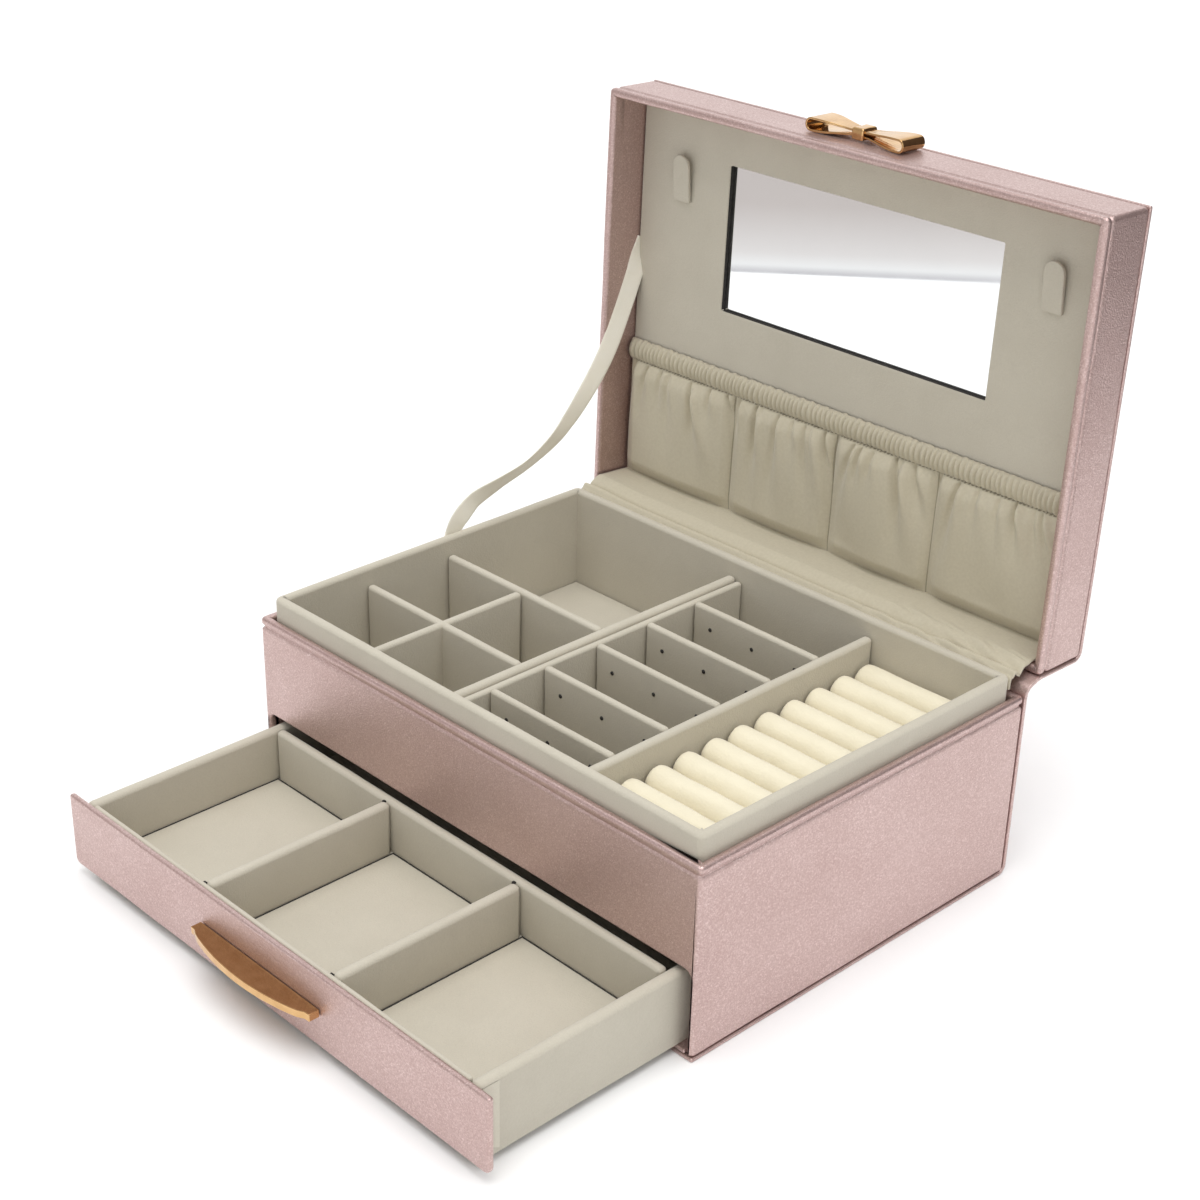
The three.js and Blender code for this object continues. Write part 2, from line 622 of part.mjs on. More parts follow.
const compartmentWidth = (2 * drawerInnerX - 2 * drawerDividerThickness) / 3;
for (const [side, sign] of [['left', -1], ['right', 1]]) {
  const x = sign * (compartmentWidth + drawerDividerThickness) / 2;
  const half = drawerDividerThickness / 2;
  const section = roundedTop(x - half, x + half, drawerFoot, drawerTop, liningRadius(drawerDividerThickness));
  addPiece(drawer, `drawer_divider_${side}`,
    alongY(section, drawerFrontInnerY + pieceGap, crossWallY - pieceGap), greigeLining);
}

// The pull: a half-moon plate, square at its ends, bowed out from the panel in the middle.
const pullBow = pullDepth - pullEndDepth;
const pullArcRadius = (pullHalfLength ** 2 + pullBow ** 2) / (2 * pullBow);
const pullArcHalfAngle = Math.asin(pullHalfLength / pullArcRadius);
const pullShape = new THREE.Shape();
pullShape.moveTo(pullHalfLength, 0);
pullShape.lineTo(-pullHalfLength, 0);
pullShape.lineTo(-pullHalfLength, -pullEndDepth);
pullShape.absarc(0, -pullDepth + pullArcRadius, pullArcRadius,
  -Math.PI / 2 - pullArcHalfAngle, -Math.PI / 2 + pullArcHalfAngle, false);
const pullMiddle = (panelBottom + panelTop) / 2;
const pull = addPiece(drawer, 'drawer_pull',
  alongZ(pullShape, -pullThickness / 2, pullThickness / 2, 18), goldMetal);
pull.position.set(0, panelFrontY - pieceGap, pullMiddle);

export default jewelleryChest;
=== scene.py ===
"""A jewellery chest: leatherette case, lined tray, mirror lid with a gathered pocket, and a drawer.

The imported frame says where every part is. The classes below build each part's visible pieces in
metres, dress them in procedural finishes and let them ride on the frame's bodies.
"""

import json
import logging
import math
import random
from collections.abc import Callable, Sequence
from dataclasses import dataclass, field
from enum import Enum

import bmesh
import bpy
from mathutils import Matrix, Vector, noise


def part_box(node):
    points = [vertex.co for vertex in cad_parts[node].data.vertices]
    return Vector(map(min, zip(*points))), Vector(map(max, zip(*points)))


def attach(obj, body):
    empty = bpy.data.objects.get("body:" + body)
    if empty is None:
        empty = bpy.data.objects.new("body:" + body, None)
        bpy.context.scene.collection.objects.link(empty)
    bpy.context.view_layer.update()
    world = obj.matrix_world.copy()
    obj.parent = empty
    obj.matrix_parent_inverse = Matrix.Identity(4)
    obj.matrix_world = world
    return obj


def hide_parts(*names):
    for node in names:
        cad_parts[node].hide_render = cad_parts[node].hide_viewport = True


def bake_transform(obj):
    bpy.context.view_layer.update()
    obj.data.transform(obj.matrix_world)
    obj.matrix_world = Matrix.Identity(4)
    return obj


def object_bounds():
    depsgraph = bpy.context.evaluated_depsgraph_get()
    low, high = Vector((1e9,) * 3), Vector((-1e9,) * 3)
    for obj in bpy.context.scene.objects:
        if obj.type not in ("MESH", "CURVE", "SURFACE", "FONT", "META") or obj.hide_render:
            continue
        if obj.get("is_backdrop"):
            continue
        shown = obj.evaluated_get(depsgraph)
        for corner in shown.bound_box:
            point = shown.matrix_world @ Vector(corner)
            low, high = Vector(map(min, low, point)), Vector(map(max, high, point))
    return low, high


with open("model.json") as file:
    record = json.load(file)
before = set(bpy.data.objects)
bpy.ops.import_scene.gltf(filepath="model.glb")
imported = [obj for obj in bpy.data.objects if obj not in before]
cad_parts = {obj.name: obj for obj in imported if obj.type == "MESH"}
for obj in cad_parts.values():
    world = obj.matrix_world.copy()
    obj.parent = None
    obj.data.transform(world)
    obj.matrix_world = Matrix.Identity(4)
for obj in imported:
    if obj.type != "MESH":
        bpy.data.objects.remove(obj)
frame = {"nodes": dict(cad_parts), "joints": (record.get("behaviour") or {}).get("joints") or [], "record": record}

log = logging.getLogger("jewellery_chest")
NOISE_SEED = 69


class Body(Enum):
    """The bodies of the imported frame."""

    BASE = "base"
    LID = "lid"
    DRAWER = "drawer"


class Slot(Enum):
    """The record's material slots."""

    LEATHERETTE = "leatherette"
    LINING = "greige_lining"
    PLUSH = "cream_plush"
    POCKET = "pocket_fabric"
    SATIN = "satin_ribbon"
    MIRROR = "mirror_glass"
    GOLD = "gold_metal"
    CORE = "core_board"


# ---- Shader graphs ----


def maths(operation: str, swapped: bool = False) -> Callable[..., "Wire"]:
    """A method of Wire that adds a Math node.

    Args:
        operation: The node's operation, such as MULTIPLY.
        swapped: Whether the other value goes into the upper input.

    Returns:
        The method.
    """

    def method(self: "Wire", other: "Wire | float" = 0.0) -> "Wire":
        """Adds the node and gives its result."""
        node = self.tree.nodes.new("ShaderNodeMath")
        node.operation = operation
        for place, value in enumerate((other, self) if swapped else (self, other)):
            if isinstance(value, Wire):
                self.tree.links.new(value.socket, node.inputs[place])
            else:
                node.inputs[place].default_value = value
        return Wire(self.tree, node.outputs[0])

    return method


@dataclass
class Wire:
    """One number on its way between nodes, so that shader maths reads as plain expressions."""

    tree: bpy.types.NodeTree
    socket: bpy.types.NodeSocket

    __add__ = maths("ADD")
    __radd__ = maths("ADD", swapped=True)
    __sub__ = maths("SUBTRACT")
    __rsub__ = maths("SUBTRACT", swapped=True)
    __mul__ = maths("MULTIPLY")
    __rmul__ = maths("MULTIPLY", swapped=True)
    __gt__ = maths("GREATER_THAN")
    __pow__ = maths("POWER")
    fraction = maths("FRACT")
    positive = maths("MAXIMUM")

    def near(self, middle: float, reach: float) -> "Wire":
        """1 within a reach of a middle, and 0 elsewhere."""
        return (self > middle - reach) * (middle + reach - self > 0.0)


Colour = tuple[float, float, float]


class Graph:
    """The node graph of a finish or of the surround."""

    def __init__(self, owner: bpy.types.ID) -> None:
        """Takes the graph of a material or a world."""
        self.owner = owner
        owner.use_nodes = True
        self.tree = owner.node_tree

    @classmethod
    def blank(cls, name: str) -> "Graph":
        """The empty graph of a new material."""
        graph = cls(bpy.data.materials.new(name))
        graph.tree.nodes.clear()
        return graph

    def node(self, kind: str, inputs: dict | None = None, stops: Sequence = (), **settings) -> bpy.types.Node:
        """Adds any node.

        Args:
            kind: The node's type.
            inputs: A value, a Wire or an output socket for each named or numbered input.
            stops: For a colour ramp, its places and colours.
            **settings: The node's own settings, which are set before its inputs.

        Returns:
            The node.
        """
        made = self.tree.nodes.new(kind)
        for key, value in settings.items():
            setattr(made, key, value)
        for place, (at, colour) in enumerate(stops):
            ramp = made.color_ramp.elements
            stop = ramp[place] if place < len(ramp) else ramp.new(at)
            stop.position = at
            stop.color = (*colour, 1.0)
        for key, value in (inputs or {}).items():
            self.feed(made.inputs[key], value)
        return made

    def feed(self, socket: bpy.types.NodeSocket, value: object) -> None:
        """Links or sets one input socket.

        Args:
            socket: The input.
            value: A Wire or an output socket to link, or a plain value.
        """
        if isinstance(value, Wire):
            value = value.socket
        if isinstance(value, bpy.types.NodeSocket):
            self.tree.links.new(value, socket)
        elif isinstance(value, tuple) and len(value) == 3 and socket.type == "RGBA":
            socket.default_value = (*value, 1.0)
        else:
            socket.default_value = value

    def wire(self, socket: bpy.types.NodeSocket) -> Wire:
        """A number ready for expressions."""
        return Wire(self.tree, socket)

    def place(self) -> bpy.types.NodeSocket:
        """The object coordinates, in metres."""
        return self.node("ShaderNodeTexCoord").outputs["Object"]

    def sheet_place(self, across: float, along: float) -> bpy.types.NodeSocket:
        """A sheet's own coordinates.

        Args:
            across: The sheet's width in metres.
            along: Its length in metres.

        Returns:
            The UV map, stretched to metres.
        """
        flat = self.node("ShaderNodeUVMap", uv_map="Flat").outputs["UV"]
        scaled = self.node("ShaderNodeMapping", {"Vector": flat, "Scale": (across, along, 1.0)})
        return scaled.outputs["Vector"]

    def speckle(self, place: bpy.types.NodeSocket, scale: float, detail: float = 2.0) -> Wire:
        """Soft noise from 0 to 1.

        Args:
            place: The coordinates.
            scale: Spots per metre.
            detail: Octaves.

        Returns:
            The noise.
        """
        made = self.node("ShaderNodeTexNoise", {"Vector": place, "Scale": scale, "Detail": detail})
        return self.wire(made.outputs["Fac"])

    def cells(self, place: bpy.types.NodeSocket, scale: float, output: str = "Distance") -> Wire:
        """Cells like the pebbles of a leather grain.

        Args:
            place: The coordinates.
            scale: Cells per metre.
            output: Distance, or Color for one value per cell.

        Returns:
            The value.
        """
        made = self.node("ShaderNodeTexVoronoi", {"Vector": place, "Scale": scale})
        return self.wire(made.outputs[output])

    def stripes(self, place: bpy.types.NodeSocket, scale: float, direction: str, wander: float = 0.0) -> Wire:
        """Even stripes, as threads lie.

        Args:
            place: The coordinates.
            scale: The wave scale.
            direction: The axis that the stripes cross: X, Y or Z.
            wander: How far they stray.

        Returns:
            The wave from 0 to 1.
        """
        made = self.node("ShaderNodeTexWave", {"Vector": place, "Scale": scale, "Distortion": wander},
                         wave_type="BANDS", bands_direction=direction, wave_profile="SIN")
        return self.wire(made.outputs["Fac"])

    def between(self, share: Wire, low: Colour, high: Colour) -> bpy.types.NodeSocket:
        """A colour between two.

        Args:
            share: 0 for the first colour and 1 for the second.
            low: The first colour.
            high: The second colour.

        Returns:
            The colour socket.
        """
        ramp = self.node("ShaderNodeValToRGB", {"Fac": share}, stops=((0.0, low), (1.0, high)))
        return ramp.outputs["Color"]

    def surface(self, bump: Wire | None = None, depth: float = 0.0001, **sockets) -> bpy.types.Material:
        """Closes the graph with the one shader.

        Args:
            bump: The height pattern, if it has one.
            depth: The height of the pattern in metres.
            **sockets: Values or links for the shader's sockets, with _ for a space.

        Returns:
            The material.
        """
        shader = self.node("ShaderNodeBsdfPrincipled")
        for key, value in sockets.items():
            self.feed(shader.inputs[key.replace("_", " ")], value)
        if bump is not None:
            relief = self.node("ShaderNodeBump", {"Height": bump, "Distance": depth, "Strength": 1.0})
            self.feed(shader.inputs["Normal"], relief.outputs["Normal"])
        out = self.node("ShaderNodeOutputMaterial")
        self.feed(out.inputs["Surface"], shader.outputs["BSDF"])
        return self.owner


# ---- Finishes ----


@dataclass(frozen=True)
class Leatherette:
    """Pearl pink leatherette: a fine pebble grain with bright flecks of pigment."""

    slot: Slot = Slot.LEATHERETTE
    deep: Colour = (0.44, 0.285, 0.26)
    pale: Colour = (0.80, 0.645, 0.62)
    pebbles: float = 1500.0
    flecks: float = 2300.0

    def material(self) -> bpy.types.Material:
        """The finish as a material."""
        graph = Graph.blank("pearl_leatherette")
        place = graph.place()
        fleck = graph.cells(place, self.flecks, "Color") ** 3.0
        cloud = graph.speckle(place, 28.0, 3.0)
        pebble = graph.cells(place, self.pebbles)
        share = cloud * 0.3 + fleck * 0.6 + pebble * 0.25
        rough = 0.38 - fleck * 0.15 + graph.speckle(place, 90.0) * 0.07
        return graph.surface(
            bump=pebble * 0.6 + graph.speckle(place, 2600.0) * 0.8,
            depth=0.00013,
            Base_Color=graph.between(share, self.deep, self.pale),
            Metallic=fleck * 0.12 + 0.80,
            Roughness=rough,
            Coat_Weight=0.06,
            Coat_Roughness=0.3,
        )


@dataclass(frozen=True)
class Lining:
    """Short-pile lining over card: a mottled nap with a soft sheen."""

    slot: Slot = Slot.LINING
    name: str = "greige_lining"
    deep: Colour = (0.475, 0.435, 0.353)
    pale: Colour = (0.605, 0.565, 0.47)

    def material(self) -> bpy.types.Material:
        """The finish as a material."""
        graph = Graph.blank(self.name)
        place = graph.place()
        nap = graph.speckle(place, 1700.0, 3.0)
        brushed = graph.speckle(place, 55.0, 4.0)
        share = nap * 0.55 + brushed * 0.5
        return graph.surface(
            bump=nap + graph.speckle(place, 420.0) * 0.6,
            depth=0.00013,
            Base_Color=graph.between(share, self.deep, self.pale),
            Roughness=0.95 - brushed * 0.12,
            Sheen_Weight=0.3,
            Sheen_Roughness=0.45,
        )


@dataclass(frozen=True)
class Plush:
    """Cream plush over foam: a dense pile that catches light at its edges."""

    slot: Slot = Slot.PLUSH
    deep: Colour = (0.75, 0.685, 0.515)
    pale: Colour = (0.88, 0.82, 0.645)

    def material(self) -> bpy.types.Material:
        """The finish as a material."""
        graph = Graph.blank("cream_plush")
        place = graph.place()
        pile = graph.speckle(place, 1400.0, 3.0)
        lay = graph.speckle(place, 120.0, 2.0)
        return graph.surface(
            bump=pile + lay * 0.8,
            depth=0.00016,
            Base_Color=graph.between(pile * 0.4 + lay * 0.6, self.deep, self.pale),
            Roughness=0.97 - lay * 0.08,
            Sheen_Weight=0.45,
            Sheen_Roughness=0.4,
        )


@dataclass(frozen=True)
class Cloth:
    """Thin plain-woven cloth, with a line of stitches if it has a seam, and dark lines down its panel seams that
    are partly the sewn seam and partly painted shade.
    """

    slot: Slot = Slot.POCKET
    deep: Colour = (0.50, 0.45, 0.335)
    pale: Colour = (0.62, 0.57, 0.44)
    thread_and_shade_colour: Colour = (0.30, 0.265, 0.19)
    width: float = 0.22
    length: float = 0.06
    threads: float = 900.0
    seam: float = -1.0
    stitches: float = 520.0
    stitch_half: float = 0.00022
    seam_and_shade_lines: tuple[float, ...] = ()
    seam_and_shade_half: float = 0.00025

    def material(self) -> bpy.types.Material:
        """The finish as a material."""
        graph = Graph.blank("woven_cloth")
        flat = graph.sheet_place(self.width, self.length)
        warp = graph.stripes(flat, self.threads, "X", 0.4)
        weft = graph.stripes(flat, self.threads, "Y", 0.4)
        slub = graph.speckle(graph.place(), 900.0, 2.0)
        axes = graph.node("ShaderNodeSeparateXYZ", {"Vector": flat})
        across, down = graph.wire(axes.outputs["X"]), graph.wire(axes.outputs["Y"])
        dash = (across * self.stitches).fraction() > 0.45
        stitch_and_seam_shade = dash * down.near(self.seam, self.stitch_half)
        # The dark lines down the panel seams are partly the sewn seam and partly painted shade where the cloth
        # rolls over it.
        for seam_and_shade_line in self.seam_and_shade_lines:
            stitch_and_seam_shade = stitch_and_seam_shade + across.near(seam_and_shade_line, self.seam_and_shade_half) * (down > self.seam) * 0.8
        weave = graph.between(slub * 0.7 + warp * 0.08 + weft * 0.08, self.deep, self.pale)
        colour = graph.node("ShaderNodeMix", {"Factor": stitch_and_seam_shade, 6: weave, 7: self.thread_and_shade_colour}, data_type="RGBA")
        return graph.surface(
            bump=warp * 0.3 + weft * 0.3 + slub * 0.7 - stitch_and_seam_shade * 2.0,
            depth=0.00007,
            Base_Color=colour.outputs[2],
            Roughness=0.88 - slub * 0.1,
            Sheen_Weight=0.25,
            Sheen_Roughness=0.5,
        )


@dataclass(frozen=True)
class Satin:
    """Cream satin ribbon: fine threads along its length."""

    slot: Slot = Slot.SATIN
    deep: Colour = (0.86, 0.81, 0.67)
    pale: Colour = (0.97, 0.94, 0.85)
    width: float = 0.0075
    length: float = 0.19

    def material(self) -> bpy.types.Material:
        """The finish as a material."""
        graph = Graph.blank("cream_satin")
        flat = graph.sheet_place(self.width, self.length)
        threads = graph.stripes(flat, 900.0, "X", 0.6)
        shimmer = graph.speckle(flat, 130.0, 2.0)
        return graph.surface(
            bump=threads,
            depth=0.00004,
            Base_Color=graph.between(threads * 0.35 + shimmer * 0.65, self.deep, self.pale),
            Roughness=0.36 + shimmer * 0.14,
            Sheen_Weight=0.2,
        )


@dataclass(frozen=True)
class Mirror:
    """Silvered glass with a faint haze."""

    slot: Slot = Slot.MIRROR
    tint: Colour = (0.90, 0.915, 0.92)
    clear: Colour = (0.95, 0.96, 0.965)

    def material(self) -> bpy.types.Material:
        """The finish as a material."""
        graph = Graph.blank("mirror_glass")
        haze = graph.speckle(graph.place(), 40.0, 3.0)
        return graph.surface(
            Base_Color=graph.between(haze, self.tint, self.clear),
            Metallic=1.0,
            Roughness=haze * 0.03 + 0.01,
        )


@dataclass(frozen=True)
class Gilt:
    """Warm rose-gold plate, finely brushed."""

    slot: Slot = Slot.GOLD
    deep: Colour = (0.50, 0.27, 0.105)
    pale: Colour = (0.88, 0.60, 0.30)

    def material(self) -> bpy.types.Material:
        """The finish as a material."""
        graph = Graph.blank("gilt_metal")
        place = graph.place()
        drawn = graph.node("ShaderNodeMapping", {"Vector": place, "Scale": (0.06, 1.0, 1.0)})
        brushing = graph.speckle(drawn.outputs["Vector"], 2600.0, 2.0)
        patina = graph.speckle(place, 210.0, 3.0)
        return graph.surface(
            bump=brushing,
            depth=0.000012,
            Base_Color=graph.between(patina * 0.75 + brushing * 0.25, self.deep, self.pale),
            Metallic=1.0,
            Roughness=0.06 + patina * 0.1,
        )


@dataclass(frozen=True)
class Core:
    """Dark raw edge of the card core, also used as painted shade in holes, gaps and joints."""

    slot: Slot = Slot.CORE
    deep: Colour = (0.012, 0.011, 0.010)
    pale: Colour = (0.045, 0.040, 0.036)

    def material(self) -> bpy.types.Material:
        """The finish as a material."""
        graph = Graph.blank("core_board")
        fibre = graph.speckle(graph.place(), 900.0, 4.0)
        return graph.surface(
            bump=fibre,
            depth=0.0001,
            Base_Color=graph.between(fibre, self.deep, self.pale),
            Roughness=0.92 - fibre * 0.1,
        )


Finish = Leatherette | Lining | Plush | Cloth | Satin | Mirror | Gilt | Core


@dataclass
class Wardrobe:
    """One material for each finish, made once and shared."""

    made: dict[Finish, bpy.types.Material] = field(default_factory=dict)

    def material(self, finish: Finish) -> bpy.types.Material:
        """The material of a finish."""
        if finish not in self.made:
            self.made[finish] = finish.material()
        return self.made[finish]

    def dress_frame(self) -> None:
        """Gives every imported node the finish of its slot."""
        finishes = {f.slot: f for f in (Leatherette(), Lining(), Plush(), Cloth(), Mirror(), Gilt(), Core())}
        finishes[Slot.SATIN] = Cloth(slot=Slot.SATIN, deep=Satin.deep, pale=Satin.pale)
        for part in frame["record"]["subparts"]:
            node = frame["nodes"][part["node"]]
            node.data.materials.clear()
            node.data.materials.append(self.material(finishes[Slot(part["material_slot"])]))


# ---- Places and shapes ----


@dataclass(frozen=True)
class Box:
    """A box between its lowest and highest corners."""

    low: Vector
    high: Vector

    @property
    def middle(self) -> Vector:
        """Its centre."""
        return (self.low + self.high) / 2

    @property
    def span(self) -> Vector:
        """Its size."""
        return self.high - self.low

    def grown(self, x: float = 0.0, y: float = 0.0, z: float = 0.0) -> "Box":
        """A box that reaches further by these amounts on both sides."""
        more = Vector((x, y, z))
        return Box(self.low - more, self.high + more)


def box_around(places: Sequence[Vector]) -> Box:
    """The smallest box around some places."""
    low = [min(place[axis] for place in places) for axis in range(3)]
    high = [max(place[axis] for place in places) for axis in range(3)]
    return Box(Vector(low), Vector(high))


def box_of(*nodes: str) -> Box:
    """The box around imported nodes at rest.

    Args:
        *nodes: The nodes' names.

    Returns:
        Their box.
    """
    return box_around([Vector(corner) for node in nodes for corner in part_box(node)])


def joint(name: str) -> dict:
    """The record's entry for a joint."""
    return next(entry for entry in frame["joints"] if entry["name"] == name)


def lid_opening() -> Matrix:
    """The turn that takes the shut lid to where it stands open at rest."""
    hinge = joint("lid_hinge")
    pivot = Matrix.Translation(Vector(hinge["pos_m"]))
    turn = Matrix.Rotation(-math.radians(hinge["range_deg"][1]), 4, Vector(hinge["axis"]))
    return pivot @ turn @ pivot.inverted()


def shut_box_of(*nodes: str) -> Box:
    """The box around lid nodes as they lie when the lid is shut.

    Args:
        *nodes: The nodes' names.

    Returns:
        Their box.
    """
    closing = lid_opening().inverted()
    return box_around([closing @ v.co for node in nodes for v in frame["nodes"][node].data.vertices])


def eased(value: float, start: float, end: float) -> float:
    """A smooth step from 0 at start to 1 at end."""
    share = min(max((value - start) / (end - start), 0.0), 1.0)
    return share * share * (3.0 - 2.0 * share)


def hump(value: float, middle: float, reach: float) -> float:
    """A smooth hump of height 1 around a middle."""
    return math.exp(-(((value - middle) / reach) ** 2))


def along_line(points: Sequence[Vector], share: float) -> Vector:
    """A place on a smooth line through points.

    Args:
        points: What the line passes through.
        share: 0 at the first point and 1 at the last.

    Returns:
        The place.
    """
    last = len(points) - 1
    at = min(max(share, 0.0), 1.0) * last
    step = min(int(at), last - 1)
    t = at - step
    before = points[max(step - 1, 0)]
    start, end = points[step], points[step + 1]
    after = points[min(step + 2, last)]
    bend = 2 * before - 5 * start + 4 * end - after
    swing = 3 * start - before - 3 * end + after
    return 0.5 * (2 * start + (end - before) * t + bend * t * t + swing * t * t * t)


def line_length(points: Sequence[Vector], steps: int = 60) -> float:
    """The length of that smooth line."""
    places = [along_line(points, i / steps) for i in range(steps + 1)]
    return sum((b - a).length for a, b in zip(places, places[1:]))


def block(box: Box) -> bmesh.types.BMesh:
    """A solid block that fills a box."""
    bm = bmesh.new()
    bmesh.ops.create_cube(bm, size=1.0)
    bmesh.ops.scale(bm, vec=box.span, verts=bm.verts)
    bmesh.ops.translate(bm, vec=box.middle, verts=bm.verts)
    return bm


def faces_towards(bm: bmesh.types.BMesh, direction: Sequence[float]) -> list[bmesh.types.BMFace]:
    """The faces that look in a direction."""
    bm.normal_update()
    wanted = Vector(direction)
    return [f for f in bm.faces if f.normal.dot(wanted) > 0.99]


def edges_along(bm: bmesh.types.BMesh, direction: Sequence[float]) -> list[bmesh.types.BMEdge]:
    """The edges that run in a direction."""
    wanted = Vector(direction)
    found = []
    for edge in bm.edges:
        run = edge.verts[1].co - edge.verts[0].co
        if run.length > 1e-9 and abs(run.normalized().dot(wanted)) > 0.999:
            found.append(edge)
    return found


def round_edges(bm: bmesh.types.BMesh, edges: Sequence[bmesh.types.BMEdge], radius: float,
                segments: int = 4, clamp: bool = True) -> None:
    """Rounds edges.

    Args:
        bm: The mesh.
        edges: The edges to round.
        radius: The radius in metres.
        segments: The steps of the rounding.
        clamp: Whether short neighbours hold the radius back.
    """
    bmesh.ops.bevel(bm, geom=list(edges), offset=radius, offset_type="OFFSET", segments=segments,
                    profile=0.5, affect="EDGES", clamp_overlap=clamp, material=-1)


def cut(bm: bmesh.types.BMesh, point: Sequence[float], normal: Sequence[float],
        faces: Sequence[bmesh.types.BMFace] | None = None) -> None:
    """Cuts new edges where a plane crosses.

    Args:
        bm: The mesh.
        point: A point of the plane.
        normal: The plane's normal.
        faces: The faces to cut, or all of them.
    """
    if faces is None:
        geom = [*bm.verts, *bm.edges, *bm.faces]
    else:
        edges = dict.fromkeys(e for f in faces for e in f.edges)
        verts = dict.fromkeys(v for f in faces for v in f.verts)
        geom = [*verts, *edges, *faces]
    bmesh.ops.bisect_plane(bm, geom=geom, dist=1e-7, plane_co=Vector(point), plane_no=Vector(normal))


def slice_evenly(bm: bmesh.types.BMesh, axis: int, low: float, high: float, step: float) -> None:
    """Cuts across an axis at even steps, so that the surface can wave.

    Args:
        bm: The mesh.
        axis: 0, 1 or 2 for X, Y or Z.
        low: Where the cuts start.
        high: Where they end.
        step: The distance between them.
    """
    normal = Vector((0.0, 0.0, 0.0))
    normal[axis] = 1.0
    count = max(int((high - low) / step), 1)
    for i in range(1, count):
        cut(bm, normal * (low + (high - low) * i / count), normal)


def unsteady(bm: bmesh.types.BMesh, amount: float, scale: float = 45.0, seed: float = 0.0) -> None:
    """Lets hand-wrapped surfaces wander a little.

    Args:
        bm: The mesh.
        amount: How far in metres.
        scale: Waves per metre.
        seed: Shifts the pattern, so that no two pieces match.
    """
    for v in bm.verts:
        v.co += noise.noise_vector(v.co * scale + Vector((seed, seed * 1.7, -seed))) * amount


def walls_around(box: Box, corner: float, segments: int) -> bmesh.types.BMesh:
    """Four walls around a box, without a top or bottom.

    Args:
        box: The box.
        corner: The radius of the upright corners.
        segments: The steps of their rounding.

    Returns:
        The mesh.
    """
    bm = block(box)
    ends = faces_towards(bm, (0, 0, 1)) + faces_towards(bm, (0, 0, -1))
    bmesh.ops.delete(bm, geom=ends, context="FACES")
    round_edges(bm, edges_along(bm, (0, 0, 1)), corner, segments)
    return bm


def wave_walls(bm: bmesh.types.BMesh, box: Box, step: float, amount: float, scale: float,
               seed: float) -> None:
    """Cuts walls finely and lets them wander.

    Args:
        bm: The walls.
        box: The box around them.
        step: The distance between the cuts.
        amount: How far they wander.
        scale: Waves per metre.
        seed: Shifts the pattern.
    """
    margin = 0.01
    for axis in (0, 1):
        slice_evenly(bm, axis, box.low[axis] + margin, box.high[axis] - margin, step)
    unsteady(bm, amount, scale, seed)


def folded_sheet(box: Box, level: int, fold: float) -> bmesh.types.BMesh:
    """A sheet over or under a box that goes on along its back in one fold.

    Args:
        box: The box.
        level: 1 for a sheet over it and -1 for one under it.
        fold: The radius of the fold.

    Returns:
        The mesh.
    """
    bm = block(box)
    kept = faces_towards(bm, (0, 0, level)) + faces_towards(bm, (0, 1, 0))
    bmesh.ops.delete(bm, geom=[f for f in bm.faces if f not in kept], context="FACES")
    round_edges(bm, [e for e in bm.edges if len(e.link_faces) == 2], fold, 6)
    return bm


def holed_plate(outer: Box, inner: Box) -> bmesh.types.BMesh:
    """A plate that fills a box, with a straight hole through it.

    Args:
        outer: The plate's box.
        inner: The hole's sides.

    Returns:
        The mesh.
    """
    bm = block(outer)
    for x in (inner.low.x, inner.high.x):
        cut(bm, (x, 0, 0), (1, 0, 0))
    for y in (inner.low.y, inner.high.y):
        cut(bm, (0, y, 0), (0, 1, 0))
    inside = [f for f in bm.faces if abs(f.normal.z) > 0.9
              and inner.low.x < f.calc_center_median().x < inner.high.x
              and inner.low.y < f.calc_center_median().y < inner.high.y]
    rims = dict.fromkeys(e for f in inside for e in f.edges)
    bmesh.ops.delete(bm, geom=inside, context="FACES_ONLY")
    bmesh.ops.bridge_loops(bm, edges=list(rims))
    return bm


def linked(name: str, data: bpy.types.ID) -> bpy.types.Object:
    """Makes an object of its data and puts it in the scene."""
    made = bpy.data.objects.new(name, data)
    bpy.context.scene.collection.objects.link(made)
    return made


def object_of(name: str, bm: bmesh.types.BMesh) -> bpy.types.Object:
    """Makes an object of a mesh, which is used up."""
    mesh = bpy.data.meshes.new(name)
    bm.to_mesh(mesh)
    bm.free()
    return linked(name, mesh)


def cloth_grid(across: int, along: int, place: Callable[[float, float], Vector]) -> bmesh.types.BMesh:
    """A grid laid where a function says, with its flat shape kept in the UV map Flat.

    Args:
        across: Faces across.
        along: Faces along.
        place: Gives the place for two shares from 0 to 1.

    Returns:
        The mesh.
    """
    bm = bmesh.new()
    bmesh.ops.create_grid(bm, x_segments=across, y_segments=along, size=0.5)
    flat = bm.loops.layers.uv.new("Flat")
    for face in bm.faces:
        for loop in face.loops:
            loop[flat].uv = (loop.vert.co.x + 0.5, loop.vert.co.y + 0.5)
    for v in bm.verts:
        v.co = place(v.co.x + 0.5, v.co.y + 0.5)
    return bm


# ---- Making pieces ----


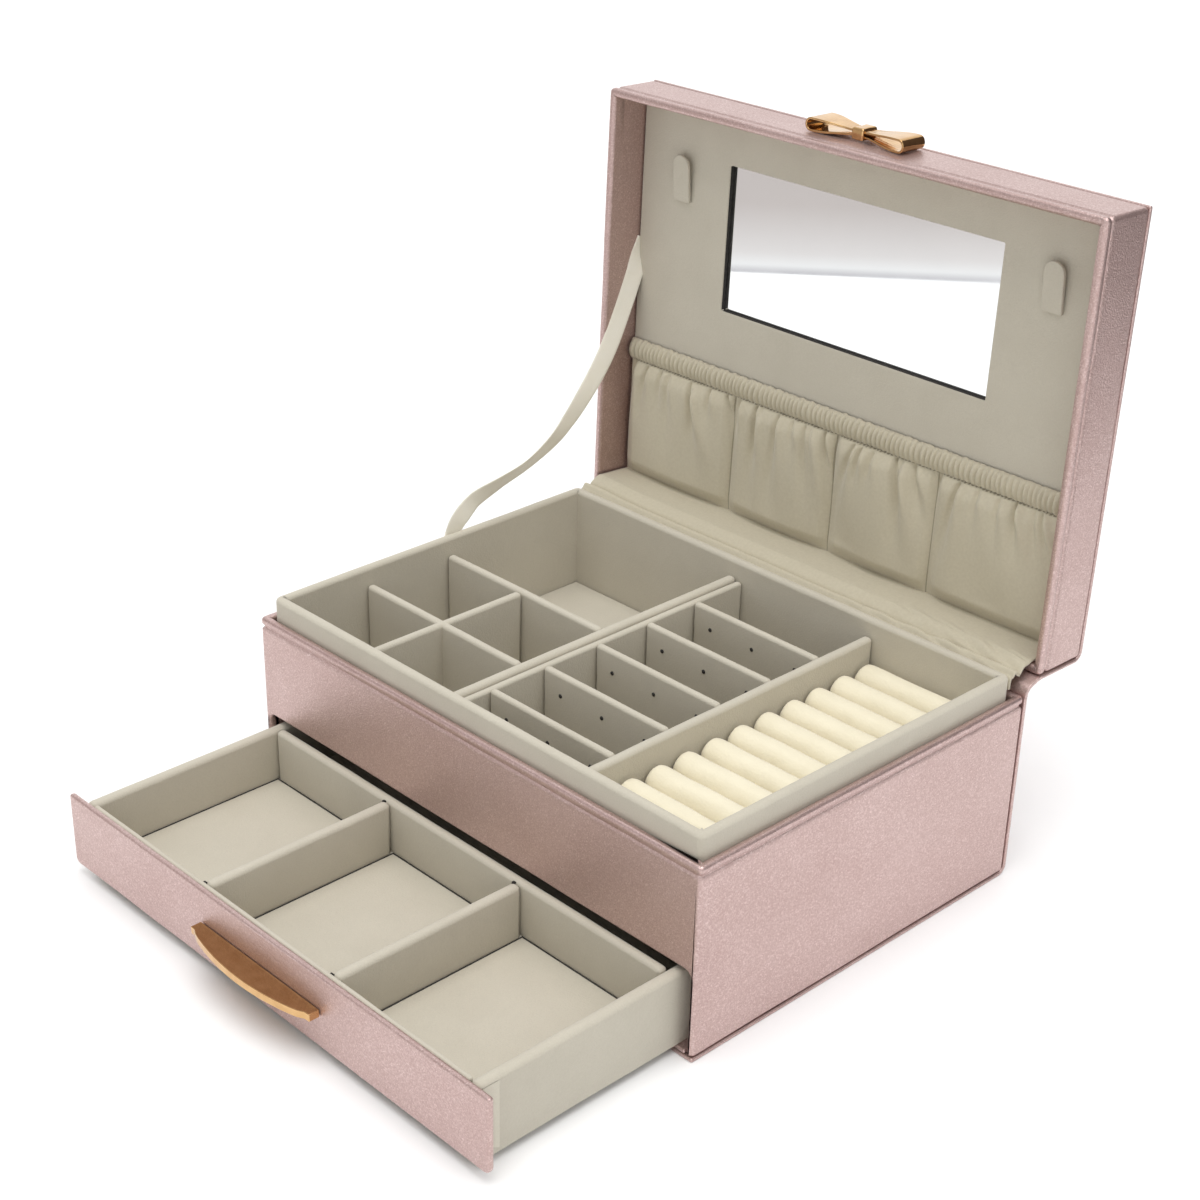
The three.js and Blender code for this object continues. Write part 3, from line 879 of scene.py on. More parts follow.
@dataclass
class Bench:
    """Turns finished shapes into dressed pieces that ride on the frame.

    Rims that turn by more than sharp are rounded. Inner walls that stray less than slack are made
    flat.
    """

    wardrobe: Wardrobe
    sharp: float = math.radians(55)
    slack: float = 0.0012

    def piece(self, name: str, bm: bmesh.types.BMesh, finish: Finish, body: Body | None,
              replaces: Sequence[str] = (), thickness: float = 0.0, offset: float = -1.0,
              edge: float = 0.0, turn: Matrix | None = None, around: Box | None = None) -> bpy.types.Object:
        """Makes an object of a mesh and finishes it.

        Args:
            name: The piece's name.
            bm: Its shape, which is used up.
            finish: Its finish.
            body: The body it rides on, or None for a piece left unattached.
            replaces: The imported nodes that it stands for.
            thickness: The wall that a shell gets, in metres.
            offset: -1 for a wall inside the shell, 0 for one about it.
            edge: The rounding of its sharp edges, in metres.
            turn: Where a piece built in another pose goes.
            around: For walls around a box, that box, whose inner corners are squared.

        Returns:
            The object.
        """
        piece = object_of(name, bm)
        if thickness:
            wall = piece.modifiers.new("wall", "SOLIDIFY")
            wall.thickness = thickness
            wall.offset = offset
            wall.use_even_offset = True
        if around is not None:
            self.square_inside(piece, around, thickness, edge)
        elif edge:
            rounding = piece.modifiers.new("edge", "BEVEL")
            rounding.width = edge
            rounding.segments = 3
            rounding.limit_method = "ANGLE"
            rounding.angle_limit = math.radians(38)
            rounding.miter_outer = "MITER_ARC"
        self.settle(piece)
        if turn is not None:
            piece.data.transform(turn)
        self.shade(piece)
        piece.data.materials.clear()
        piece.data.materials.append(self.wardrobe.material(finish))
        if body is not None:
            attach(piece, body.value)
        if replaces:
            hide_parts(*replaces)
        log.info("%s: %d faces", name, len(piece.data.polygons))
        return piece

    def plain(self, name: str, node: str, finish: Finish, body: Body, radius: float) -> None:
        """Makes a plain block in a node's place.

        Args:
            name: The piece's name.
            node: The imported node.
            finish: Its finish.
            body: The body it rides on.
            radius: The rounding of its edges.
        """
        bm = block(box_of(node))
        round_edges(bm, bm.edges, radius, 3)
        self.piece(name, bm, finish, body, (node,))

    def square_inside(self, piece: bpy.types.Object, around: Box, thickness: float, edge: float) -> None:
        """Makes a ring of walls flat and square inside, where creases and corners would cross it.

        Its rims are rounded afterwards.

        Args:
            piece: The ring, with its wall modifier.
            around: The box around it.
            thickness: Its walls' thickness.
            edge: The rounding of its rims.
        """
        outer = len(piece.data.vertices)
        self.settle(piece)
        half = around.span / 2 - Vector((thickness, thickness, 0))
        bm = bmesh.new()
        bm.from_mesh(piece.data)
        bm.verts.ensure_lookup_table()
        for v in bm.verts[outer:]:
            away = v.co - around.middle
            for axis in (0, 1):
                if abs(away[axis]) > half[axis] - self.slack:
                    v.co[axis] = around.middle[axis] + math.copysign(half[axis], away[axis])
        bmesh.ops.remove_doubles(bm, verts=bm.verts, dist=1e-6)
        bmesh.ops.recalc_face_normals(bm, faces=bm.faces)
        bm.normal_update()
        rims = [e for e in bm.edges if e.calc_face_angle_signed(0.0) > self.sharp]
        round_edges(bm, rims, edge, 5, clamp=False)
        bm.to_mesh(piece.data)
        bm.free()

    def settle(self, piece: bpy.types.Object) -> None:
        """Applies a piece's modifiers to its mesh."""
        if not piece.modifiers:
            return
        graph = bpy.context.evaluated_depsgraph_get()
        done = bpy.data.meshes.new_from_object(piece.evaluated_get(graph), preserve_all_data_layers=True,
                                               depsgraph=graph)
        piece.modifiers.clear()
        piece.data = done

    def shade(self, piece: bpy.types.Object) -> None:
        """Shades rounded edges smooth and keeps broad faces flat."""
        piece.data.shade_smooth()
        even = piece.modifiers.new("even", "WEIGHTED_NORMAL")
        even.mode = "FACE_AREA"
        even.weight = 60
        self.settle(piece)


# ---- The case ----


@dataclass
class Case:
    """The leatherette case: one wrapped shell, its lip, and the cover that folds up behind it."""

    bench: Bench
    corner: float = 0.0018
    corner_steps: int = 4
    rim: float = 0.0013
    crease_drop: float = 0.0036
    crease_depth: float = 0.0007
    opening_side: float = 0.0026
    opening_round: float = 0.003
    cover_fold: float = 0.004
    cover_edge: float = 0.0006
    wave_step: float = 0.022
    wave_scale: float = 45.0
    wander: float = 0.00022

    def creased(self, bm: bmesh.types.BMesh, box: Box, level: float) -> None:
        """Presses the crease of the turned edge into a shell.

        Args:
            bm: The shell.
            box: Its box.
            level: The crease's height.
        """
        for shift in (-0.0013, -0.0003, 0.0003, 0.0013):
            cut(bm, (0, 0, level + shift), (0, 0, 1))
        for v in bm.verts:
            if abs(v.co.z - level) < 0.0004:
                v.co.x -= math.copysign(self.crease_depth, v.co.x)
                v.co.y -= math.copysign(self.crease_depth, v.co.y - box.middle.y)

    def shell(self) -> None:
        """The wrapped walls, with the drawer's opening in the front."""
        walls = ("case_side_left", "case_side_right", "case_front_band", "case_back_wall")
        box = box_of(*walls)
        band = box_of("case_front_band")
        bm = walls_around(box, self.corner, self.corner_steps)
        half = box.high.x - self.opening_side
        for x in (-half, half):
            cut(bm, (x, 0, 0), (1, 0, 0), faces_towards(bm, (0, -1, 0)))
        cut(bm, (0, 0, band.low.z), (0, 0, 1), faces_towards(bm, (0, -1, 0)))
        opening = [f for f in faces_towards(bm, (0, -1, 0))
                   if abs(f.calc_center_median().x) < half and f.calc_center_median().z < band.low.z]
        bmesh.ops.delete(bm, geom=opening, context="FACES")
        bmesh.ops.dissolve_faces(bm, faces=faces_towards(bm, (0, -1, 0)))
        corners = [v for v in bm.verts
                   if abs(abs(v.co.x) - half) < 1e-5 and abs(v.co.z - band.low.z) < 1e-5 and v.co.y < 0]
        bmesh.ops.bevel(bm, geom=corners, offset=self.opening_round, offset_type="OFFSET", segments=5,
                        profile=0.5, affect="VERTICES", clamp_overlap=True, material=-1)
        self.creased(bm, box, box.high.z - self.crease_drop)
        wave_walls(bm, box, self.wave_step, self.wander, self.wave_scale, 0.0)
        self.bench.piece("case_shell", bm, Leatherette(), Body.BASE, walls,
                         thickness=band.span.y, edge=self.rim, around=box)

    def cover(self) -> None:
        """The cover board: under the case and up its back in one fold."""
        boards = ("bottom_cover_board", "back_cover_board")
        bm = folded_sheet(box_of(*boards), -1, self.cover_fold)
        self.bench.piece("case_cover", bm, Leatherette(), Body.BASE, boards,
                         thickness=box_of("bottom_cover_board").span.z, edge=self.cover_edge)

    def build(self) -> None:
        """Builds the case."""
        self.shell()
        self.bench.plain("case_floor_lip", "case_floor", Leatherette(), Body.BASE, 0.0006)
        self.cover()


# ---- The tray ----


@dataclass
class LinedBoard:
    """A card board wrapped in lining: its top rolls over softly and its ends are turned in."""

    node: str
    finish: Finish = Lining()
    seed: float = 0.0
    wander: float = 0.00016
    roll: float = 0.42
    margin: float = 0.004
    step: float = 0.012

    def build(self, bench: Bench, body: Body) -> bpy.types.Object:
        """Builds the board in its node's place.

        Args:
            bench: Where it is made.
            body: The body it rides on.

        Returns:
            The piece.
        """
        box = box_of(self.node)
        bm = block(box)
        long_axis = 0 if box.span.x > box.span.y else 1
        thin = min(box.span.x, box.span.y)
        top = [e for e in bm.edges if all(v.co.z > box.high.z - 1e-6 for v in e.verts)]
        round_edges(bm, top + edges_along(bm, (0, 0, 1)), thin * self.roll, 4)
        slice_evenly(bm, long_axis, box.low[long_axis] + self.margin, box.high[long_axis] - self.margin,
                     self.step)
        unsteady(bm, self.wander, 60.0, self.seed)
        return bench.piece("lined_" + self.node, bm, self.finish, body, (self.node,))


@dataclass
class Tray:
    """The lined tray: its rim, its floor, cells and earring panels; its ring pads are built apart."""

    bench: Bench
    corner: float = 0.0026
    corner_steps: int = 5
    roll: float = 0.45
    boards: tuple[str, ...] = ("long_divider_left", "long_divider_right", "cell_divider_front",
                               "cell_divider_rear", "cell_partition", "earring_side_panel")
    pin_radius: float = 0.0008
    pin_drop: float = 0.0083
    pin_pitch: float = 0.0214
    panels: int = 5
    wave_step: float = 0.014
    wave_scale: float = 50.0
    wander: float = 0.00016

    def rim(self) -> None:
        """The four outer walls as one wrapped loop."""
        walls = ("tray_wall_front", "tray_wall_back", "tray_wall_left", "tray_wall_right")
        box = box_of(*walls)
        bm = walls_around(box, self.corner, self.corner_steps)
        wave_walls(bm, box, self.wave_step, self.wander, self.wave_scale, 3.0)
        thin = box_of("tray_wall_left").span.x
        self.bench.piece("tray_rim", bm, Lining(), Body.BASE, walls, thickness=thin,
                         edge=thin * self.roll, around=box)

    def painted_hole_shade(self) -> None:
        """Dark cylinders of painted shade where the earring posts' holes are, three in each panel."""
        bm = bmesh.new()
        for number in range(1, self.panels + 1):
            box = box_of(f"earring_panel_{number}")
            for place in (-1, 0, 1):
                at = Vector((box.middle.x + place * self.pin_pitch, box.middle.y, box.high.z - self.pin_drop))
                turn = Matrix.Translation(at) @ Matrix.Rotation(math.pi / 2, 4, "X")
                # Each dark cylinder stands in for the shade inside a hole.
                bmesh.ops.create_cone(bm, cap_ends=True, segments=10, radius1=self.pin_radius,
                                      radius2=self.pin_radius, depth=box.span.y + 0.0005, matrix=turn)
        self.bench.piece("earring_hole_painted_shade", bm, Core(), Body.BASE)

    def build(self) -> None:
        """Builds the tray."""
        self.rim()
        self.bench.plain("tray_lined_floor", "tray_floor", Lining(), Body.BASE, 0.0006)
        for number, node in enumerate(self.boards):
            LinedBoard(node, seed=number * 3.1).build(self.bench, Body.BASE)
        for number in range(1, self.panels + 1):
            LinedBoard(f"earring_panel_{number}", seed=20 + number * 2.3).build(self.bench, Body.BASE)
        # Painted shade in the earring posts' holes.
        self.painted_hole_shade()


@dataclass
class RingPads:
    """Plush rolls side by side, each blown up softly by a cloth simulation."""

    bench: Bench
    count: int = 11
    voxel: float = 0.0013
    shrink: float = 0.0005
    cap: float = 0.0009
    frames: int = 20
    lumps: float = 0.00035
    gap: float = 0.00002
    end_gap: float = 0.0001
    fill: float = 0.8

    def blank(self, box: Box) -> bpy.types.Object:
        """A slightly slim roll to be blown up.

        Args:
            box: The room that the roll has.

        Returns:
            The object, remeshed finely.
        """
        slim = box.grown(-self.shrink, -self.shrink, 0)
        bm = block(Box(slim.low, slim.high - Vector((0, 0, self.shrink))))
        round_edges(bm, [e for e in edges_along(bm, (1, 0, 0)) if e.verts[0].co.z > box.middle.z],
                    slim.span.y * 0.49, 8)
        ends = [e for e in bm.edges if max(v.co.x for v in e.verts) < box.low.x + 0.002
                and min(v.co.z for v in e.verts) > box.low.z + 0.001]
        round_edges(bm, ends, 0.0022, 4)
        roll = object_of("roll", bm)
        remesh = roll.modifiers.new("even", "REMESH")
        remesh.mode = "VOXEL"
        remesh.voxel_size = self.voxel
        self.bench.settle(roll)
        return roll

    def inflate(self, roll: bpy.types.Object) -> None:
        """Blows a roll up with cloth pressure, its foot held.

        Args:
            roll: The remeshed roll, which is changed.
        """
        before = [v.co.copy() for v in roll.data.vertices]
        foot = min(co.z for co in before)
        held = roll.vertex_groups.new(name="foot")
        held.add([i for i, co in enumerate(before) if co.z < foot + 0.004], 1.0, "REPLACE")
        cloth = roll.modifiers.new("cloth", "CLOTH")
        cloth.settings.quality = 5
        cloth.settings.use_pressure = True
        cloth.settings.uniform_pressure_force = 4.0
        cloth.settings.effector_weights.gravity = 0.0
        cloth.settings.vertex_group_mass = held.name
        scene = bpy.context.scene
        for number in range(1, self.frames + 1):
            scene.frame_set(number)
        self.bench.settle(roll)
        scene.frame_set(1)
        for v, co in zip(roll.data.vertices, before):
            move = v.co - co
            if move.length > self.cap:
                v.co = co + move.normalized() * self.cap

    def build(self) -> None:
        """Builds every pad from the one simulated roll."""
        first = box_of("ring_pad_1")
        roll = self.blank(first)
        self.inflate(roll)
        for number in range(1, self.count + 1):
            box = box_of(f"ring_pad_{number}")
            bm = bmesh.new()
            bm.from_mesh(roll.data)
            bmesh.ops.smooth_vert(bm, verts=bm.verts, factor=0.5, use_axis_x=True, use_axis_y=True,
                                  use_axis_z=True)
            bmesh.ops.translate(bm, vec=box.middle - first.middle, verts=bm.verts)
            unsteady(bm, self.lumps, 70.0, number * 5.3)
            for v in bm.verts:
                v.co.y = min(max(v.co.y, box.low.y + self.gap), box.high.y - self.gap)
                v.co.x = min(max(v.co.x, box.low.x + self.end_gap), box.high.x - self.end_gap)
            pad = self.bench.piece(f"plush_pad_{number}", bm, Plush(), Body.BASE, (f"ring_pad_{number}",))
        bpy.data.objects.remove(roll)


# ---- The drawer ----


@dataclass
class Drawer:
    """The drawer: a leatherette panel with its gilt pull on a lined box."""

    bench: Bench
    lower_corner: float = 0.0025
    panel_edge: float = 0.0009
    pull_rim: float = 0.0011
    pull_end: float = 0.0043
    pull_dish: float = 0.00035
    strip: float = 0.0075
    strip_lap: float = 0.00004
    joint: float = 0.00055
    joint_rise: float = 0.00012
    boards: tuple[str, ...] = ("drawer_wall_left", "drawer_wall_right", "drawer_wall_front",
                               "drawer_wall_back", "drawer_cross_wall", "drawer_divider_left",
                               "drawer_divider_right")

    def panel(self) -> None:
        """The wrapped front panel."""
        box = box_of("drawer_front_panel")
        bm = block(box)
        lower = [e for e in edges_along(bm, (0, 1, 0)) if e.verts[0].co.z < box.middle.z]
        round_edges(bm, lower, self.lower_corner, 5)
        slice_evenly(bm, 0, box.low.x + 0.006, box.high.x - 0.006, 0.02)
        unsteady(bm, 0.00018, 40.0, 9.0)
        self.bench.piece("drawer_wrapped_panel", bm, Leatherette(), Body.DRAWER, ("drawer_front_panel",),
                         edge=self.panel_edge)

    def pull(self) -> None:
        """The half-moon pull: bowed out in the middle, its top dished inside a bright rim."""
        box = box_of("drawer_pull")
        half = box.span.x / 2
        end = self.pull_end
        bm = block(box)
        slice_evenly(bm, 0, box.low.x, box.high.x, box.span.x / 28)
        for v in bm.verts:
            if v.co.y < box.middle.y:
                share = (v.co.x - box.middle.x) / half
                scoop = 0.0007 * hump(abs(share), 0.93, 0.05)
                v.co.y = box.high.y - end - (box.span.y - end) * (1 - share * share) + scoop
        for side in (1, -1):
            bmesh.ops.inset_region(bm, faces=faces_towards(bm, (0, 0, side)), thickness=self.pull_rim,
                                   depth=-self.pull_dish, use_even_offset=True)
        self.bench.piece("gilt_pull", bm, Gilt(), Body.DRAWER, ("drawer_pull",), edge=0.0003)

    def edge_strips(self) -> None:
        """The lapped strip of paler lining behind the panel, one on each side."""
        paler = Lining(name="pale_lining", deep=(0.56, 0.52, 0.425), pale=(0.70, 0.66, 0.555))
        for side, node in ((-1, "drawer_wall_left"), (1, "drawer_wall_right")):
            wall = box_of(node)
            x = wall.low.x if side < 0 else wall.high.x
            low = Vector((x - self.strip_lap, wall.low.y + 0.0004, wall.low.z + 0.0005))
            high = Vector((x + self.strip_lap, wall.low.y + 0.0004 + self.strip, wall.high.z - 0.0016))
            bm = block(Box(low, high))
            self.bench.piece("lining_edge_" + ("left" if side < 0 else "right"), bm, paler, Body.DRAWER)

    def joints(self) -> None:
        """Dark blocks of painted shade: the shadow lines where the floor meets the walls, and the shaded gaps at
        the boards' ends.
        """
        floor = box_of("drawer_floor")
        back = box_of("drawer_cross_wall")
        front = box_of("drawer_wall_front")
        stops = [box_of("drawer_wall_left"), box_of("drawer_divider_left"), box_of("drawer_divider_right"),
                 box_of("drawer_wall_right")]
        low, high = floor.high.z - 0.0001, floor.high.z + self.joint_rise
        bm = bmesh.new()

        def fill(start: tuple[float, float, float], end: tuple[float, float, float]) -> None:
            """Adds one dark block of painted shade."""
            room = Box(Vector(start), Vector(end))
            place = Matrix.Translation(room.middle) @ Matrix.Diagonal((*room.span, 1.0))
            bmesh.ops.create_cube(bm, size=1.0, matrix=place)

        # Painted shadow lines along the floor's joints with the walls.
        for left, right in zip(stops, stops[1:]):
            fill((left.high.x, back.low.y - self.joint, low), (right.low.x, back.low.y, high))
            fill((left.high.x, front.high.y, low), (left.high.x + self.joint, back.low.y, high))
            fill((right.low.x - self.joint, front.high.y, low), (right.low.x, back.low.y, high))
        # Painted shade in the gaps at the dividers' ends.
        for board in stops[1:3]:
            top = board.high.z - 0.0006
            fill((board.low.x - 0.0003, front.high.y - 0.0004, top - 0.005),
                 (board.low.x + 0.0012, front.high.y + 0.0008, top))
            fill((board.low.x - 0.0004, back.low.y - 0.0007, top - 0.006),
                 (board.low.x + 0.0009, back.low.y + 0.0003, top))
        self.bench.piece("drawer_joint_painted_shade", bm, Core(), Body.DRAWER)

    def build(self) -> None:
        """Builds the drawer."""
        self.panel()
        self.pull()
        self.bench.plain("drawer_lined_floor", "drawer_floor", Lining(), Body.DRAWER, 0.0005)
        for number, node in enumerate(self.boards):
            LinedBoard(node, seed=40 + number * 2.9).build(self.bench, Body.DRAWER)
        # Painted shade at the floor's joints and at the boards' ends.
        self.joints()
        self.edge_strips()


# ---- The lid ----


@dataclass
class Lid:
    """The lid: wrapped walls, cover, lined panel with its mirror, tabs and the bow."""

    bench: Bench
    case: Case
    window_lap: float = 0.006
    window_edge: float = 0.00004
    window_margin: float = 0.0008
    bow_root: float = 0.0029
    bow_pinch: float = 0.0032
    bow_strip: float = 0.0008
    bow_knot_swell: float = 0.0009

    def __post_init__(self) -> None:
        """Works out how the lid stands open."""
        self.opening = lid_opening()

    def walls(self) -> None:
        """The four wrapped walls, creased behind their turned rim."""
        nodes = ("lid_wall_front", "lid_wall_back", "lid_wall_left", "lid_wall_right")
        box = shut_box_of(*nodes)
        bm = walls_around(box, self.case.corner, self.case.corner_steps)
        self.case.creased(bm, box, box.low.z + self.case.crease_drop)
        wave_walls(bm, box, self.case.wave_step, self.case.wander, self.case.wave_scale, 6.0)
        thin = shut_box_of("lid_wall_front").span.y
        self.bench.piece("lid_shell", bm, Leatherette(), Body.LID, nodes, thickness=thin,
                         edge=self.case.rim, turn=self.opening, around=box)

    def cover(self) -> None:
        """The lid's cover: over its top and down its back in one fold."""
        boards = ("lid_cover_board", "lid_back_cover_board")
        bm = folded_sheet(shut_box_of(*boards), 1, self.case.cover_fold)
        self.bench.piece("lid_cover", bm, Leatherette(), Body.LID, boards,
                         thickness=shut_box_of("lid_cover_board").span.z, edge=self.case.cover_edge,
                         turn=self.opening)

    def liner(self) -> None:
        """The lined panel around the mirror, and the dark edge of its window, which is partly the card core's raw
        edge and partly painted shade in the recess.
        """
        box = shut_box_of("lid_liner_panel")
        hole = shut_box_of("mirror").grown(-self.window_lap, -self.window_lap, 0)
        self.bench.piece("lid_lined_panel", holed_plate(box, hole), Lining(), Body.LID,
                         ("lid_liner_panel",), edge=0.0005, turn=self.opening)
        # The dark frame: the core's own edge, and painted shade where the recess lies in shadow.
        outer = hole.grown(self.window_margin, self.window_margin, 0)
        room = Box(Vector((outer.low.x, outer.low.y, box.low.z + 0.0005)),
                   Vector((outer.high.x, outer.high.y, box.high.z + 0.0002)))
        inner = hole.grown(-self.window_edge, -self.window_edge, 0)
        self.bench.piece("mirror_window_core_and_shade", holed_plate(room, inner), Core(), Body.LID,
                         turn=self.opening)

    def mirror(self) -> None:
        """The mirror: a silvered plate with softened edges."""
        bm = block(shut_box_of("mirror"))
        round_edges(bm, bm.edges, 0.0004, 2)
        self.bench.piece("mirror_plate", bm, Mirror(), Body.LID, ("mirror",), turn=self.opening)

    def tabs(self) -> None:
        """The necklace tabs: lined strips, rounded at their free ends."""
        for side in ("left", "right"):
            node = "necklace_tab_" + side
            closing = self.opening.inverted()
            bm = bmesh.new()
            bm.from_mesh(frame["nodes"][node].data)
            bm.transform(closing)
            bmesh.ops.remove_doubles(bm, verts=bm.verts, dist=1e-6)
            bmesh.ops.dissolve_limit(bm, angle_limit=0.02, verts=bm.verts, edges=bm.edges)
            self.bench.piece("lined_tab_" + side, bm, Lining(), Body.LID, (node,), edge=0.0004,
                             turn=self.opening)

    def bow_loop(self, side: int, box: Box) -> bmesh.types.BMesh:
        """One open loop of the bow.

        Args:
            side: 1 for the right loop and -1 for the left.
            box: The bow's room in the shut lid.

        Returns:
            The strip's mid surface.
        """
        tip_half = box.span.y / 2 - self.bow_strip / 2
        root_half = tip_half * 0.34
        tip_x = box.span.x / 2 - tip_half - self.bow_strip / 2
        tip_high = box.span.z / 2 - self.bow_strip / 4

        def place(across: float, along: float) -> Vector:
            """Along the strip from the knot, round the tip and back."""
            turn = eased(along, 0.42, 0.58)
            way = along / 0.42 if along < 0.42 else (1 - along) / 0.42
            run = min(way, 1.0)
            x = tip_x * run
            half = root_half + (tip_half - root_half) * eased(run, 0.05, 0.95)
            y = half
            if 0.42 < along < 0.58:
                angle = math.pi * (along - 0.42) / 0.16
                x = tip_x + math.sin(angle) * tip_half
                y = math.cos(angle) * tip_half
            elif turn > 0.5:
                y = -half
            spread = self.bow_pinch + (tip_high - self.bow_pinch) * eased(x, self.bow_root, tip_x) ** 0.8
            pleat = 0.00022 * math.cos(across * 6 * math.pi) * (1 - min(x / tip_x, 1.0))
            z = (across - 0.5) * 2 * spread
            return box.middle + Vector((side * x, y + math.copysign(pleat, y), z))

        return cloth_grid(16, 56, place)

    def bow(self) -> None:
        """The bow: two open loops and the knot over their roots."""
        box = shut_box_of("bow_ornament")
        for name, side in (("left", -1), ("right", 1)):
            bm = self.bow_loop(side, box)
            self.bench.piece("bow_loop_" + name, bm, Gilt(), Body.LID, thickness=self.bow_strip,
                             offset=0.0, edge=0.0002, turn=self.opening)
        high = self.bow_pinch + self.bow_knot_swell
        knot_room = Box(box.middle - Vector((self.bow_root, box.span.y * 0.44, high)),
                        box.middle + Vector((self.bow_root, box.span.y * 0.44, high)))
        bm = block(knot_room)
        slice_evenly(bm, 2, knot_room.low.z, knot_room.high.z, high / 4)
        for v in bm.verts:
            share = (v.co.z - box.middle.z) / high
            v.co.x = box.middle.x + (v.co.x - box.middle.x) * (0.82 + 0.18 * share * share)
        round_edges(bm, [e for e in bm.edges if e.calc_face_angle(0.0) > 0.7], 0.0009, 4)
        self.bench.piece("bow_knot", bm, Gilt(), Body.LID, ("bow_ornament",), turn=self.opening)

    def build(self) -> None:
        """Builds the lid."""
        self.walls()
        self.cover()
        self.liner()
        self.mirror()
        self.tabs()
        self.bow()


@dataclass(frozen=True)
class Fold:
    """One crease that falls from the gathered band and opens out."""

    x: float
    lean: float
    length: float
    depth: float

    def drop(self, x: float, down: float) -> float:
        """How far it presses the cloth in.

        Args:
            x: Across the lid.
            down: The distance below the band.

        Returns:
            The depth in metres, below 0 on the ridge beside the crease.
        """
        away = x - self.x - self.lean * down
        reach = 0.0010 + 0.07 * down
        fade = math.exp(-((down / self.length) ** 2))
        return self.depth * fade * (hump(away, 0.0, reach) - 0.7 * hump(away, 2.2 * reach, 1.3 * reach))


@dataclass
class Pocket:
    """The gathered pocket along the lid's back: a ruched elastic top and four puffed panels."""

    bench: Bench
    band: float = 0.0086
    ruche: float = 0.0023
    seams: tuple[float, ...] = (-0.052, 0.001, 0.050)
    folds_each: int = 8
    flat: tuple[float, float] = (0.26, 0.062)

    def __post_init__(self) -> None:
        """Lays out the panels and the folds of each."""
        self.box = shut_box_of("pocket_cloth")
        self.stops = (self.box.low.x, *self.seams, self.box.high.x)
        chance = random.Random(11)
        self.folds = []
        for left, right in zip(self.stops, self.stops[1:]):
            panel = []
            for place in range(self.folds_each):
                share = (place + 0.5 + chance.uniform(-0.35, 0.35)) / self.folds_each
                lean = (share - 0.5) * 0.55 + chance.uniform(-0.15, 0.15)
                panel.append(Fold(left + (right - left) * share, lean, chance.uniform(0.009, 0.034),
                                  chance.uniform(0.0012, 0.0034)))
            self.folds.append(panel)

    def ruched(self, x: float, y: float) -> float:
        """The height of the elastic band, frilled over its elastic."""
        wander = noise.noise(Vector((x * 90, y * 40, 2.0)))
        wave = math.sin(x * math.pi / self.ruche + 1.6 * wander + 0.6 * math.sin(x * 260))
        dome = math.sin(math.pi * min(max(y / self.band, 0.0), 1.0)) ** 0.5
        return 0.0005 + dome * (0.0010 + 0.0022 * abs(wave) ** 0.7)

    def height(self, x: float, y: float) -> float:
        """How far the cloth stands off the lined panel.

        Args:
            x: Across the lid.
            y: From the pocket's top edge downwards.

        Returns:
            The height in metres.
        """
        if y < self.band:
            return self.ruched(x, y)
        down = y - self.band
        depth = down / (self.box.span.y - self.band)
        number = max(i for i in range(len(self.stops) - 1) if x >= self.stops[i] - 1e-6)
        left, right = self.stops[number], self.stops[number + 1]
        share = min(max((x - left) / (right - left), 0.0), 1.0)
        puff = min(share / 0.10, 1.0) ** 0.5 * min((1 - share) / 0.06, 1.0) ** 0.4
        swell = 0.0020 + 0.0030 * math.sin(math.pi * share) ** 0.6
        fall = eased(depth, -0.1, 0.12) * (1 - 0.8 * eased(depth, 0.86, 1.0))
        creased = sum(fold.drop(x, down) for fold in self.folds[number]) * eased(down, -0.001, 0.002)
        soft = 0.0022 * noise.noise(Vector(((x - down * 0.5) * 42, down * 22, 11.0 + number)))
        total = 0.0005 + puff * (swell * fall + soft * eased(depth, 1.0, 0.8) - creased)
        return max(total, 0.0003)

    def build(self) -> None:
        """Builds the pocket, with its band, as one cloth."""
        box = self.box

        def place(across: float, along: float) -> Vector:
            """Down from the elastic edge, standing off the lined panel."""
            x = box.low.x + box.span.x * across
            y = box.span.y * along
            frill = 0.0005 * noise.noise(Vector((x * 420, 0.0, 4.0))) * (1 - eased(y, 0.0, 0.002))
            return Vector((x, box.low.y + y - frill, box.high.z - self.height(x, y)))

        bm = cloth_grid(600, 110, place)
        seam_and_shade_lines = tuple((seam - box.low.x) / box.span.x * self.flat[0] for seam in self.seams)
        finish = Cloth(width=self.flat[0], length=self.flat[1],
                       seam=self.band / box.span.y * self.flat[1], seam_and_shade_lines=seam_and_shade_lines)
        cloth = self.bench.piece("gathered_pocket", bm, finish, Body.LID, ("pocket_cloth",),
                                 thickness=0.00035, offset=0.0, turn=lid_opening())
